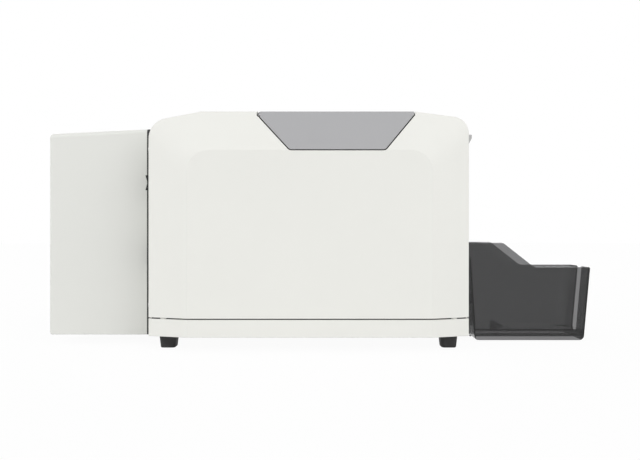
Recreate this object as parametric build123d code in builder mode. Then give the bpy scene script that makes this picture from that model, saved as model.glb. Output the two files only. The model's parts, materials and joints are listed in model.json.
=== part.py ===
"""Desktop ID card printer with a card flipper at the rear and an output hopper at the front.

Millimetres. +X points to the front of the printer, +Z up, the photographed side faces -Y.
The origin lies on the floor, in the middle of the overall length and width.
"""
from build123d import *
from math import acos, asin, atan, atan2, cos, degrees, hypot, pi, radians, sin, sqrt, tan
import os

os.makedirs("parts", exist_ok=True)

# ---- card and running fits ------------------------------------------------------------------
card_length = 85.6
card_width = 54.0
card_thickness = 0.76
running_clearance = 0.05      # radial, a shaft in its bush
seat_clearance = 0.3          # between pieces that only lie beside each other
shut_line = 1.0               # visible gap round the door and the flipper
lid_gap = 1.2                 # visible gap round the lid
seam_gap = 1.4                # visible gap between the pan and the housing

# ---- body -----------------------------------------------------------------------------------
body_length = 367.3
body_width = 225.0
body_height = 274.4
housing_wall = 3.0
foot_height = 17.1
pan_height = 21.3
face_rear = 137.0             # raised side face, from the middle of the body
face_front = 140.0
face_drop = 45.7              # top of the side faces, below the crown
face_corner = 24.0
side_setback = 13.0           # how far the ends and the crown stand in from the side faces
crown_rear = 124.0            # flat stretch of the crown, from the middle of the body
crown_front = 121.0
rear_slope_angle = 11.2
front_slope_angle = 7.4
rear_corner_radius = 23.0
front_corner_radius = 19.0
foot_spacing_x = 331.0
foot_spacing_y = 144.0
foot_width = 21.0
foot_toe = 17.5
foot_edge = 1.5
foot_shift = -0.6              # the feet stand a little to the rear

# ---- flipper module and output hopper -------------------------------------------------------
flipper_length = 131.5
flipper_width = 117.0
flipper_wall = 2.5
flipper_low = 12.1
flipper_front_height = 261.6
flipper_slope_angle = 2.8
flipper_corner = 5.0
flipper_neck_length = 12.6    # lowered band where the module docks on the body
flipper_neck_depth = 1.2
hopper_reach = 167.4
hopper_width = 63.0
hopper_wall = 2.0
hopper_low = 0.8
hopper_neck_low = 9.0
hopper_neck = 22.5
hopper_top = 122.6
hopper_top_length = 58.2
hopper_rim = 92.1
hopper_slope_run = 38.8
hopper_lean = 8.2
hopper_floor = 14.4
thumb_slot = 17.0
thumb_slot_length = 46.0
stop_rib_thickness = 2.0      # the sloped rib that stops the cards
stop_rib_height = 8.0
stop_rib_run = 17.0
stop_rib_reach = 50.0
keel_thickness = 4.0          # the rail under the floor
keel_height = 4.2

# ---- lid and front door ---------------------------------------------------------------------
lid_rear = 58.4               # from the middle of the body, at the crown
lid_front = 120.8
lid_foot_rear = 21.3
lid_foot_front = 86.8
lid_foot_drop = 44.9
lid_edge_depth = 3.9
lid_barrel_radius = 3.0
lid_knuckle_y = 62.0
lid_knuckle_width = 12.0
hinge_pin_radius = 1.5
door_half_width = 78.0
door_drop = 22.4              # upper edge of the door, below the crown
door_run = 121.0
door_barrel_radius = 4.0
grip_depth = 8.6
grip_height = 20.5
grip_taper = 16.3

# ---- chassis and card path ------------------------------------------------------------------
plate_thickness = 2.0
plate_y = 46.0                # middle of each side plate
path_z = 112.0                # underside of a card on its way through
roller_radius = 8.0
shaft_radius = 3.0
bush_radius = 5.0
station_spacing = 75.0        # from one feed roller to the next
pinch_radius = 5.0
tyre_half_width = 26.0
gear_module = 1.0
gear_width = 5.0
gear_backlash = 0.16
platen_teeth = 24
pinion_teeth = 14
idler_teeth = 36
spool_idler_teeth = 50
takeup_teeth = 30
pulley_radius = 8.7
belt_thickness = 1.2
belt_width = 5.0

# ---- ribbon, print head and cassette --------------------------------------------------------
spool_z = 165.0
spool_reach = 45.0            # each spool, from the platen
supply_radius = 20.0
takeup_radius = 13.0
spool_half_width = 33.0
journal_radius = 4.0
head_pivot_reach = 85.0
head_pivot_z = 140.0
cassette_rear = 88.0
cassette_low = 130.0
cassette_height = 92.0
cassette_wall = 2.0
stack_height = 62.0
pick_radius = 9.0
pick_reach = 110.0

# ---- places worked out from the sizes above -------------------------------------------------
body_x = (flipper_length - hopper_reach) / 2
half_length = body_length / 2
rear_face_x = body_x - half_length
front_face_x = body_x + half_length
half_width = body_width / 2
end_half_width = half_width - side_setback
face_top = body_height - face_drop
lid_foot_z = body_height - lid_foot_drop
door_high = body_height - door_drop
door_low = door_high - door_run
seam_z = foot_height + pan_height
floor_z = foot_height + housing_wall
post_radius = 5.0
post_y = end_half_width - 1.2
post_places = [
    (body_x + side_x * foot_spacing_x / 2, side_y * post_y) for side_x in (-1, 1) for side_y in (-1, 1)
]
shaft_z = path_z - roller_radius
plate_inner_y = plate_y - plate_thickness / 2
plate_outer_y = plate_y + plate_thickness / 2
gear_y = -plate_outer_y - 2.5          # far face of the gear train
belt_y = gear_y - gear_width - 2.5     # far face of the belts


def across(y):
    """Sketch plane square to Y: +X to the right, +Z up, extrudes towards -Y."""
    return Plane.XZ.offset(-y)


def end_plane(x):
    """Sketch plane square to X: local x is +Y, local y is +Z, extrudes towards +X."""
    return Plane.YZ.offset(x)


def fillet_arc(corner, before, after, radius):
    """Start, middle and end of the arc that rounds one corner of an outline."""
    to_before = (Vector(*before) - Vector(*corner)).normalized()
    to_after = (Vector(*after) - Vector(*corner)).normalized()
    half_angle = radians(to_before.get_angle(to_after)) / 2
    reach = radius / tan(half_angle)
    bisector = (to_before + to_after).normalized()
    middle = Vector(*corner) + bisector * (radius / sin(half_angle) - radius)
    start = Vector(*corner) + to_before * reach
    end = Vector(*corner) + to_after * reach
    return [(point.X, point.Y) for point in (start, middle, end)]


def draw_end_outline(inset):
    """Outline of the body seen from the side, behind the raised side faces."""
    half = half_length - inset
    top = body_height - inset
    rear_start = crown_rear - inset * tan(radians(rear_slope_angle) / 2)
    front_start = crown_front - inset * tan(radians(front_slope_angle) / 2)
    rear_top = top - (half - rear_start) * tan(radians(rear_slope_angle))
    front_top = top - (half - front_start) * tan(radians(front_slope_angle))
    low_rear = (body_x - half, foot_height)
    low_front = (body_x + half, foot_height)
    crown_a = (body_x - rear_start, top)
    crown_b = (body_x + front_start, top)
    rear = fillet_arc((body_x - half, rear_top), low_rear, crown_a, rear_corner_radius - inset)
    front = fillet_arc((body_x + half, front_top), crown_b, low_front, front_corner_radius - inset)
    Line(low_rear, rear[0])
    ThreePointArc(*rear)
    Line(rear[2], crown_a)
    Line(crown_a, crown_b)
    Line(crown_b, front[0])
    ThreePointArc(*front)
    Line(front[2], low_front)
    Line(low_front, low_rear)


def draw_face_outline(inset):
    """Outline of one raised side face, with one edge for each edge of the end outline."""
    turn = atan(side_setback / (half_length - face_front))
    shrink = inset * tan(turn / 2)
    rear = body_x - face_rear + shrink
    front = body_x + face_front - shrink
    top = face_top - shrink
    radius = face_corner - shrink
    rear_centre = (rear + radius, top - radius)
    front_centre = (front - radius, top - radius)
    rear_split = 90 + rear_slope_angle
    front_split = 90 - front_slope_angle

    def rim(centre, angle):
        return (centre[0] + radius * cos(radians(angle)), centre[1] + radius * sin(radians(angle)))

    Line((rear, foot_height), rim(rear_centre, 180))
    for start, end in ((180, rear_split), (rear_split, 90)):
        ThreePointArc(rim(rear_centre, start), rim(rear_centre, (start + end) / 2), rim(rear_centre, end))
    Line(rim(rear_centre, 90), rim(front_centre, 90))
    for start, end in ((90, front_split), (front_split, 0)):
        ThreePointArc(rim(front_centre, start), rim(front_centre, (start + end) / 2), rim(front_centre, end))
    Line(rim(front_centre, 0), (front, foot_height))
    Line((front, foot_height), (rear, foot_height))


def body_form(inset):
    """The moulded form of the whole body: a straight middle and a ruled loft to each side face."""
    with BuildPart() as form:
        with BuildSketch(Plane.XZ):
            with BuildLine():
                draw_end_outline(inset)
            make_face()
        extrude(amount=end_half_width, both=True)
        for side in (-1, 1):
            with BuildSketch(across(side * (half_width - inset))):
                with BuildLine():
                    draw_face_outline(inset)
                make_face()
            with BuildSketch(across(side * end_half_width)):
                with BuildLine():
                    draw_end_outline(inset)
                make_face()
            loft(ruled=True)
    return form.part


outer_form = body_form(0)
inner_form = body_form(housing_wall)


def gear_outline(teeth, centre, phase):
    """Corners of a spur gear outline: straight flanks drawn inside the involute."""
    pitch = gear_module * teeth / 2
    base = pitch * cos(radians(20))
    tip = pitch + gear_module
    root = pitch - 1.25 * gear_module
    low = max(root, base)

    def involute(radius):
        angle = acos(min(1.0, base / radius))
        return tan(angle) - angle

    half_tooth = pi / (2 * teeth) - gear_backlash / (2 * pitch) + involute(pitch)
    corners = []
    for index in range(teeth):
        middle = radians(phase) + 2 * pi * index / teeth
        for radius, turn in (
            (root, involute(low) - half_tooth),
            (tip, involute(tip) - half_tooth),
            (tip, half_tooth - involute(tip)),
            (root, half_tooth - involute(low)),
        ):
            corners.append((centre[0] + radius * cos(middle + turn), centre[1] + radius * sin(middle + turn)))
    return corners


def mesh_phase(driver, driver_teeth, driver_phase, driven, driven_teeth):
    """Phase that puts a tooth gap of the driven gear on a tooth of its driver."""
    line = degrees(atan2(driven[1] - driver[1], driven[0] - driver[0]))
    offset = (driver_phase - line) % (360 / driver_teeth)
    return line + 180 - offset * driver_teeth / driven_teeth - 180 / driven_teeth


def meeting_point(first, first_distance, second, second_distance, side):
    """Centre that stands at given distances from two other centres."""
    span = hypot(second[0] - first[0], second[1] - first[1])
    along = (first_distance**2 - second_distance**2 + span**2) / (2 * span)
    off = side * sqrt(first_distance**2 - along**2)
    unit = ((second[0] - first[0]) / span, (second[1] - first[1]) / span)
    return (first[0] + along * unit[0] - off * unit[1], first[1] + along * unit[1] + off * unit[0])


def turned(centre, steps, mode=Mode.ADD):
    """A stepped shaft along Y: each step is its low y, its high y and its radius."""
    for low, high, radius in steps:
        with Locations((centre[0], (low + high) / 2, centre[1])):
            Cylinder(radius, high - low, rotation=(90, 0, 0), mode=mode)


# ---- shaft centres --------------------------------------------------------------------------
platen_centre = (body_x, shaft_z)
feed_centres = {
    "rear_feed_roller": (body_x - 2 * station_spacing, shaft_z),
    "inner_feed_roller": (body_x - station_spacing, shaft_z),
    "front_feed_roller": (body_x + station_spacing, shaft_z),
    "exit_feed_roller": (body_x + 2 * station_spacing, shaft_z),
}
pinch_gap = card_thickness + 0.1
pinch_z = path_z + pinch_gap + pinch_radius
pinch_names = {
    "rear_pinch_roller": "rear_feed_roller",
    "inner_pinch_roller": "inner_feed_roller",
    "cleaning_roller": "front_feed_roller",
    "exit_pinch_roller": "exit_feed_roller",
}
motor_centre = (body_x + 30.0, 70.0)
supply_centre = (body_x - spool_reach, spool_z)
takeup_centre = (body_x + spool_reach, spool_z)
pick_centre = (body_x + pick_reach, cassette_low + cassette_wall - seat_clearance - pick_radius)
head_pivot = (body_x - head_pivot_reach, head_pivot_z)
idler_reach = gear_module * (platen_teeth + idler_teeth) / 2
pinion_reach = gear_module * (pinion_teeth + idler_teeth) / 2
idler_centre = meeting_point(platen_centre, idler_reach, motor_centre, pinion_reach, -1)
spool_idler_reach = gear_module * (platen_teeth + spool_idler_teeth) / 2
takeup_reach = gear_module * (takeup_teeth + spool_idler_teeth) / 2
spool_idler_centre = meeting_point(platen_centre, spool_idler_reach, takeup_centre, takeup_reach, 1)
idler_phase = mesh_phase(platen_centre, platen_teeth, 0, idler_centre, idler_teeth)
pinion_phase = mesh_phase(idler_centre, idler_teeth, idler_phase, motor_centre, pinion_teeth)
spool_idler_phase = mesh_phase(platen_centre, platen_teeth, 0, spool_idler_centre, spool_idler_teeth)
takeup_phase = mesh_phase(
    spool_idler_centre, spool_idler_teeth, spool_idler_phase, takeup_centre, takeup_teeth
)

# ---- base pan and feet ----------------------------------------------------------------------
cavity = split(inner_form, bisect_by=Plane.XY.offset(floor_z), keep=Keep.TOP)
vent_places = [(body_x - 110, 76), (body_x + 40, 76), (body_x + 40, -76)]

with BuildPart() as base_pan:
    add(outer_form)
    split(bisect_by=Plane.XY.offset(seam_z - seam_gap), keep=Keep.BOTTOM)
    add(cavity, mode=Mode.SUBTRACT)
    with BuildSketch(Plane.XY.offset(foot_height)):
        with Locations(*vent_places):
            with GridLocations(8.0, 0, 7, 1):
                SlotOverall(34, 3, rotation=90)
    extrude(amount=housing_wall, mode=Mode.SUBTRACT)
    with BuildSketch(Plane.XY.offset(floor_z)):
        with Locations(*post_places):
            Circle(post_radius)
    extrude(amount=seam_z - floor_z)
base_pan.part.label = "base_pan"
export_step(base_pan.part, "parts/base_pan.step")

foot_middle = body_x + foot_shift
with BuildPart() as foot_pads:
    for foot_x in (foot_middle - foot_spacing_x / 2, foot_middle + foot_spacing_x / 2):
        for foot_y in (-foot_spacing_y / 2, foot_spacing_y / 2):
            with BuildSketch(Plane.XY):
                with Locations((foot_x, foot_y)):
                    RectangleRounded(foot_toe, foot_toe, 4)
            with BuildSketch(Plane.XY.offset(foot_height)):
                with Locations((foot_x, foot_y)):
                    RectangleRounded(foot_width, foot_width, 5)
            loft()
    fillet(foot_pads.edges().group_by(Axis.Z)[0], foot_edge)
foot_pads.part.label = "foot_pads"
export_step(foot_pads.part, "parts/foot_pads.step")

# ---- lid ------------------------------------------------------------------------------------
hinge_centre = (body_x - lid_rear + lid_barrel_radius, body_height - lid_barrel_radius)
lid_edge_z = body_height - lid_edge_depth
lid_rear_slope = (lid_edge_z - lid_foot_z) / (lid_rear - lid_foot_rear)
lid_front_slope = (lid_edge_z - lid_foot_z) / (lid_front - lid_foot_front)
above = body_height + 20


def draw_lid_outline(grow):
    """The lid seen from the side, grown by the shut line where it is the opening."""
    rear_shift = grow * sqrt(1 + lid_rear_slope**2) / lid_rear_slope
    front_shift = grow * sqrt(1 + lid_front_slope**2) / lid_front_slope
    rear_top = hinge_centre[0] - grow
    rear_top_z = lid_edge_z - lid_rear_slope * (rear_top - (body_x - lid_rear - rear_shift))
    front_top = body_x + lid_front + grow
    front_top_z = lid_edge_z + lid_front_slope * (front_top - (body_x + lid_front + front_shift))
    foot = lid_foot_z - grow
    foot_rear = body_x - lid_rear - rear_shift + (lid_edge_z - foot) / lid_rear_slope
    foot_front = body_x + lid_front + front_shift - (lid_edge_z - foot) / lid_front_slope
    FilletPolyline(
        (rear_top, above),
        (rear_top, rear_top_z),
        (foot_rear, foot),
        (foot_front, foot),
        (front_top, front_top_z),
        (front_top, above),
        radius=[0.5, 5.0 + grow, 5.0 + grow, 1.0],
    )
    Line((front_top, above), (rear_top, above))


def knuckle_notch(y, slack):
    """Clears one housing knuckle, and the swing of the lid behind it."""
    with Locations((hinge_centre[0] + 0.5, y, body_height - lid_barrel_radius)):
        Box(
            2 * lid_barrel_radius + 3,
            lid_knuckle_width + 2 * slack,
            3 * lid_barrel_radius,
            mode=Mode.SUBTRACT,
        )


with BuildPart() as lid_cover:
    add(outer_form)
    add(inner_form, mode=Mode.SUBTRACT)
    with BuildSketch(Plane.XZ):
        with BuildLine():
            draw_lid_outline(0)
        make_face()
    extrude(amount=half_width + 1, both=True, mode=Mode.INTERSECT)
    turned(hinge_centre, [(-end_half_width + 2, end_half_width - 2, lid_barrel_radius)])
    for rib_y in (-66, -22, 22, 66):
        with BuildSketch(across(rib_y + 1)):
            with Locations((body_x + 32, body_height - housing_wall - 4)):
                Rectangle(120, 8)
        extrude(amount=2)
    with BuildSketch(across(8)):
        with BuildLine():
            hook_x = body_x + lid_front - 8
            hook_top = body_height - housing_wall
            Polyline(
                (hook_x, hook_top),
                (hook_x, hook_top - 16),
                (hook_x + 4, hook_top - 16),
                (hook_x + 2.5, hook_top - 12),
                (hook_x + 2.5, hook_top),
                close=True,
            )
        make_face()
    extrude(amount=16)
    for knuckle_y in (-lid_knuckle_y, lid_knuckle_y):
        knuckle_notch(knuckle_y, 0.5)
    lid_bore = hinge_pin_radius + running_clearance
    turned(hinge_centre, [(-end_half_width, end_half_width, lid_bore)], Mode.SUBTRACT)
lid_cover.part.label = "lid_cover"
export_step(lid_cover.part, "parts/lid_cover.step")

with BuildPart() as lid_hinge_pin:
    turned(hinge_centre, [(-end_half_width + 2, end_half_width - 2, hinge_pin_radius)])
lid_hinge_pin.part.label = "lid_hinge_pin"
export_step(lid_hinge_pin.part, "parts/lid_hinge_pin.step")

# ---- front door -----------------------------------------------------------------------------
door_hinge = (front_face_x - door_barrel_radius, door_low + door_barrel_radius)

with BuildPart() as front_door:
    with BuildSketch(end_plane(front_face_x - housing_wall)):
        with Locations((0, (door_hinge[1] + door_high) / 2)):
            Rectangle(2 * door_half_width, door_high - door_hinge[1])
    extrude(amount=housing_wall)
    fillet(front_door.edges().filter_by(Axis.X).group_by(Axis.Z)[-1], 4)
    turned(door_hinge, [(-door_half_width, door_half_width, door_barrel_radius)])
    with BuildSketch(end_plane(front_face_x - housing_wall)):
        with Locations((0, (door_low + door_high) / 2 + 4)):
            Rectangle(2 * door_half_width - 16, door_high - door_low - 34)
            Rectangle(2 * door_half_width - 20, door_high - door_low - 38, mode=Mode.SUBTRACT)
            with GridLocations((2 * door_half_width - 16) / 3, 0, 2, 1):
                Rectangle(2, door_high - door_low - 34)
    extrude(amount=-3)
    with BuildSketch(across(9)):
        with BuildLine():
            catch_x = front_face_x - housing_wall
            Polyline(
                (catch_x, door_high - 5),
                (catch_x - 9, door_high - 4.5),
                (catch_x - 9, door_high - 3.5),
                (catch_x, door_high - 3),
                close=True,
            )
        make_face()
    extrude(amount=18)
    turned(door_hinge, [(-half_width, half_width, hinge_pin_radius + running_clearance)], Mode.SUBTRACT)
front_door.part.label = "front_door"
export_step(front_door.part, "parts/front_door.step")

with BuildPart() as door_grip:
    grip_low = door_high - 0.9 - grip_height
    with BuildSketch(across(door_half_width - 0.5)):
        with BuildLine():
            FilletPolyline(
                (front_face_x, grip_low),
                (front_face_x + grip_depth, grip_low + grip_taper),
                (front_face_x + grip_depth, grip_low + grip_height),
                (front_face_x, grip_low + grip_height),
                radius=[1.5, 0.8],
            )
            Line((front_face_x, grip_low + grip_height), (front_face_x, grip_low))
        make_face()
    extrude(amount=2 * door_half_width - 1)
door_grip.part.label = "door_grip"
export_step(door_grip.part, "parts/door_grip.step")

door_ear_y = door_half_width + shut_line
door_ear_width = 4.0
with BuildPart() as door_hinge_pin:
    ear_reach = door_ear_y + door_ear_width
    turned(door_hinge, [(-ear_reach, ear_reach, hinge_pin_radius)])
door_hinge_pin.part.label = "door_hinge_pin"
export_step(door_hinge_pin.part, "parts/door_hinge_pin.step")

# ---- control panel on the front slope -------------------------------------------------------
panel_reach = 144.5
panel_width = 130.0
panel_run = 34.0
panel_recess = 1.0
key_travel = 1.0
key_size = (9.0, 12.0)
key_gap = 0.3
key_places = {"left_key": 15.0, "middle_key": 33.0, "right_key": 51.0}
display_size = (20.0, 46.0)
display_y = -25.0
lamp_y = -58.0
lamp_radius = 2.0
panel_angle = radians(front_slope_angle)
panel_top_z = body_height - (panel_reach - crown_front) * tan(panel_angle)
flange_thickness = 1.5


def panel_plane(depth):
    """Plane parallel to the front slope of the crown, a given depth under its surface."""
    normal = Vector(sin(panel_angle), 0, cos(panel_angle))
    slope = Vector(cos(panel_angle), 0, -sin(panel_angle))
    origin = Vector(body_x + panel_reach, 0, panel_top_z) - normal * depth
    return Plane(origin=origin, x_dir=slope, z_dir=normal)


panel_under = housing_wall + flange_thickness

with BuildPart() as control_panel:
    with BuildSketch(panel_plane(housing_wall)):
        RectangleRounded(panel_run - 0.6, panel_width - 0.6, 3)
    extrude(amount=housing_wall - panel_recess)
    with BuildSketch(panel_plane(panel_under)):
        Rectangle(panel_run + 5, panel_width + 6)
    extrude(amount=flange_thickness)
    with BuildSketch(panel_plane(panel_under)):
        for key_y in key_places.values():
            with Locations((0, key_y)):
                RectangleRounded(key_size[0] + 2 * key_gap, key_size[1] + 2 * key_gap, 2)
        with Locations((0, display_y)):
            Rectangle(display_size[0] - 4, display_size[1] - 4)
        with Locations((0, lamp_y)):
            Circle(lamp_radius + 0.1)
    extrude(amount=panel_under, mode=Mode.SUBTRACT)
    with BuildSketch(panel_plane(panel_recess + 1.6)):
        with Locations((0, display_y)):
            Rectangle(display_size[0] + 0.4, display_size[1] + 0.4)
    extrude(amount=2, mode=Mode.SUBTRACT)
control_panel.part.label = "control_panel"
export_step(control_panel.part, "parts/control_panel.step")

with BuildPart() as display_window:
    with BuildSketch(panel_plane(panel_recess + 1.6)):
        with Locations((0, display_y)):
            RectangleRounded(display_size[0], display_size[1], 1)
    extrude(amount=1.5)
display_window.part.label = "display_window"
export_step(display_window.part, "parts/display_window.step")

with BuildPart() as status_lamp:
    with BuildSketch(panel_plane(panel_under)):
        with Locations((0, lamp_y)):
            Circle(lamp_radius)
    extrude(amount=panel_under - panel_recess + 0.2)
status_lamp.part.label = "status_lamp"
export_step(status_lamp.part, "parts/status_lamp.step")

key_flange = 1.2
key_top = 0.2
for key_name, key_y in key_places.items():
    with BuildPart() as key_cap:
        with BuildSketch(panel_plane(panel_under + 0.1)):
            with Locations((0, key_y)):
                RectangleRounded(key_size[0], key_size[1], 1.8)
        extrude(amount=panel_under + 0.1 - key_top)
        with BuildSketch(panel_plane(panel_under + 0.1 + key_flange)):
            with Locations((0, key_y)):
                RectangleRounded(key_size[0] + 2.5, key_size[1] + 2.5, 2)
        extrude(amount=key_flange)
    key_cap.part.label = key_name
    export_step(key_cap.part, "parts/" + key_name + ".step")

board_depth = panel_under + 0.1 + key_flange + key_travel + 0.3 + 1.0
with BuildPart() as key_board:
    with BuildSketch(panel_plane(board_depth + 1.6)):
        Rectangle(panel_run - 4, panel_width - 4)
    extrude(amount=1.6)
    with BuildSketch(panel_plane(board_depth)):
        for key_y in key_places.values():
            with Locations((0, key_y)):
                Rectangle(6, 6)
    extrude(amount=1.0)
    with BuildSketch(panel_plane(board_depth)):
        with GridLocations(panel_run - 10, panel_width - 10, 2, 2):
            Circle(2)
    extrude(amount=board_depth - panel_under)
key_board.part.label = "key_board"
export_step(key_board.part, "parts/key_board.step")

# ---- sockets and power switch on the rear face ----------------------------------------------
rear_strip_y = end_half_width - 19.5   # middle of the sockets and of the switch
switch_z = 193.85
switch_height = 17.5
switch_width = 12.0
rocker_out = 7.2
rocker_dip = 4.8
rocker_pivot = (rear_face_x + 2.0, switch_z)
bezel_out = 1.2
inlet_z = 108.45
inlet_height = 24.1
inlet_width = 31.0
inlet_out = 2.5
port_z = 84.0
fan_size = 30.0
fan_z = 196.0
fan_depth = 10.0
fan_centre_y = end_half_width - 20.5
port_board_width = 36.0

with BuildPart() as switch_frame:
    with BuildSketch(end_plane(rear_face_x - bezel_out)):
        with Locations((-rear_strip_y, switch_z)):
            RectangleRounded(switch_width + 7, switch_height + 8, 1.5)
    extrude(amount=bezel_out)
    with BuildSketch(end_plane(rear_face_x)):
        with Locations((-rear_strip_y, switch_z)):
            Rectangle(switch_width + 4, switch_height + 6)
    extrude(amount=16)
    with BuildSketch(end_plane(rear_face_x - bezel_out)):
        with Locations((-rear_strip_y, switch_z)):
            Rectangle(switch_width + 0.6, switch_height + 3.6)
    extrude(amount=bezel_out + 14, mode=Mode.SUBTRACT)
    with Locations((rocker_pivot[0], -rear_strip_y, switch_z)):
        Cylinder(1.5, switch_width + 1, rotation=(90, 0, 0))
switch_frame.part.label = "switch_frame"
export_step(switch_frame.part, "parts/switch_frame.step")

with BuildPart() as power_rocker:
    with BuildSketch(across(-rear_strip_y + switch_width / 2)):
        with BuildLine():
            half = switch_height / 2
            Polyline(
                (rear_face_x - rocker_out, switch_z - half),
                (rear_face_x - rocker_dip, switch_z),
                (rear_face_x - rocker_out, switch_z + half),
                (rear_face_x + 2, switch_z + half - 1),
                (rear_face_x + 7, switch_z + 3),
                (rear_face_x + 7, switch_z - 3),
                (rear_face_x + 2, switch_z - half + 1),
                close=True,
            )
        make_face()
        with Locations(rocker_pivot):
            Circle(1.5 + running_clearance, mode=Mode.SUBTRACT)
    extrude(amount=switch_width)
power_rocker.part.label = "power_rocker"
export_step(power_rocker.part, "parts/power_rocker.step")

with BuildPart() as mains_inlet:
    with BuildSketch(end_plane(rear_face_x - inlet_out)):
        with Locations((-rear_strip_y, inlet_z)):
            RectangleRounded(inlet_width, inlet_height, 2)
    extrude(amount=inlet_out)
    with BuildSketch(end_plane(rear_face_x)):
        with Locations((-rear_strip_y, inlet_z)):
            RectangleRounded(inlet_width - 4, inlet_height - 4.1, 3)
    extrude(amount=22)
    with BuildSketch(end_plane(rear_face_x - inlet_out)):
        with Locations((-rear_strip_y, inlet_z)):
            RectangleRounded(inlet_width - 7, inlet_height - 7.6, 3)
    extrude(amount=17, mode=Mode.SUBTRACT)
    with BuildSketch(end_plane(rear_face_x + 3)):
        with Locations((-rear_strip_y, inlet_z)):
            with Locations((-7, -2), (0, 2), (7, -2)):
                Rectangle(2, 4)
    extrude(amount=12)
mains_inlet.part.label = "mains_inlet"
export_step(mains_inlet.part, "parts/mains_inlet.step")

with BuildPart() as data_ports:
    with BuildSketch(end_plane(rear_face_x - 0.3)):
        with Locations((rear_strip_y - 8, port_z), (rear_strip_y + 10, port_z)):
            Rectangle(15, 13)
    extrude(amount=16)
    with BuildSketch(end_plane(rear_face_x - 0.3)):
        with Locations((rear_strip_y - 8, port_z)):
            Rectangle(12, 8)
            with Locations((0, 5)):
                Rectangle(4, 2)
        with Locations((rear_strip_y + 10, port_z)):
            Rectangle(8.5, 7.5)
            Rectangle(5.5, 3, mode=Mode.SUBTRACT)
    extrude(amount=11, mode=Mode.SUBTRACT)
    with BuildSketch(end_plane(rear_face_x + 0.2 + housing_wall)):
        with Locations((rear_strip_y, port_z - 7.3)):
            Rectangle(port_board_width, 1.6)
    extrude(amount=40)
data_ports.part.label = "data_ports"
export_step(data_ports.part, "parts/data_ports.step")

fan_x = rear_face_x + housing_wall
with BuildPart() as fan_frame:
    with BuildSketch(end_plane(fan_x)):
        with Locations((fan_centre_y, fan_z)):
            RectangleRounded(fan_size, fan_size, 2)
            Circle(fan_size / 2 - 1.2, mode=Mode.SUBTRACT)
            with GridLocations(fan_size - 6, fan_size - 6, 2, 2):
                Circle(1.5, mode=Mode.SUBTRACT)
    extrude(amount=fan_depth)
    with BuildSketch(end_plane(fan_x + fan_depth - 1.5)):
        with Locations((fan_centre_y, fan_z)):
            Circle(6.5)
            Rectangle(fan_size - 1, 2)
            Rectangle(2, fan_size - 1)
    extrude(amount=1.5)
    with Locations((fan_x + fan_depth - 4, fan_centre_y, fan_z)):
        Cylinder(1.0, 6, rotation=(0, 90, 0))
fan_frame.part.label = "fan_frame"
export_step(fan_frame.part, "parts/fan_frame.step")

with BuildPart() as fan_rotor:
    with BuildSketch(end_plane(fan_x + 1)):
        with Locations((fan_centre_y, fan_z)):
            Circle(6.5)
            Circle(1.0 + running_clearance, mode=Mode.SUBTRACT)
    extrude(amount=fan_depth - 3)
    for blade in range(7):
        blade_turn = blade * 360 / 7
        blade_frame = Plane(
            origin=(fan_x + fan_depth / 2 - 0.5, fan_centre_y, fan_z),
            x_dir=(0, cos(radians(blade_turn)), sin(radians(blade_turn))),
            z_dir=(cos(radians(50)), -sin(radians(blade_turn)) * sin(radians(50)),
                   cos(radians(blade_turn)) * sin(radians(50))),
        )
        with BuildSketch(blade_frame.offset(-0.4)):
            with Locations((9.7, 0)):
                Rectangle(7.0, 6.0)
        extrude(amount=0.8)
fan_rotor.part.label = "fan_rotor"
export_step(fan_rotor.part, "parts/fan_rotor.step")

# ---- upper housing --------------------------------------------------------------------------
exit_slot_low = path_z - 3.0
exit_slot_high = path_z + 8.0
card_slot_half = card_width / 2 + 5
hopper_hook_y = 20.0
hopper_hook_width = 6.0
hopper_hook_height = 8.0
hopper_hook_zs = (50.0, 88.0)
hook_depth = housing_wall + 3.0

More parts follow.
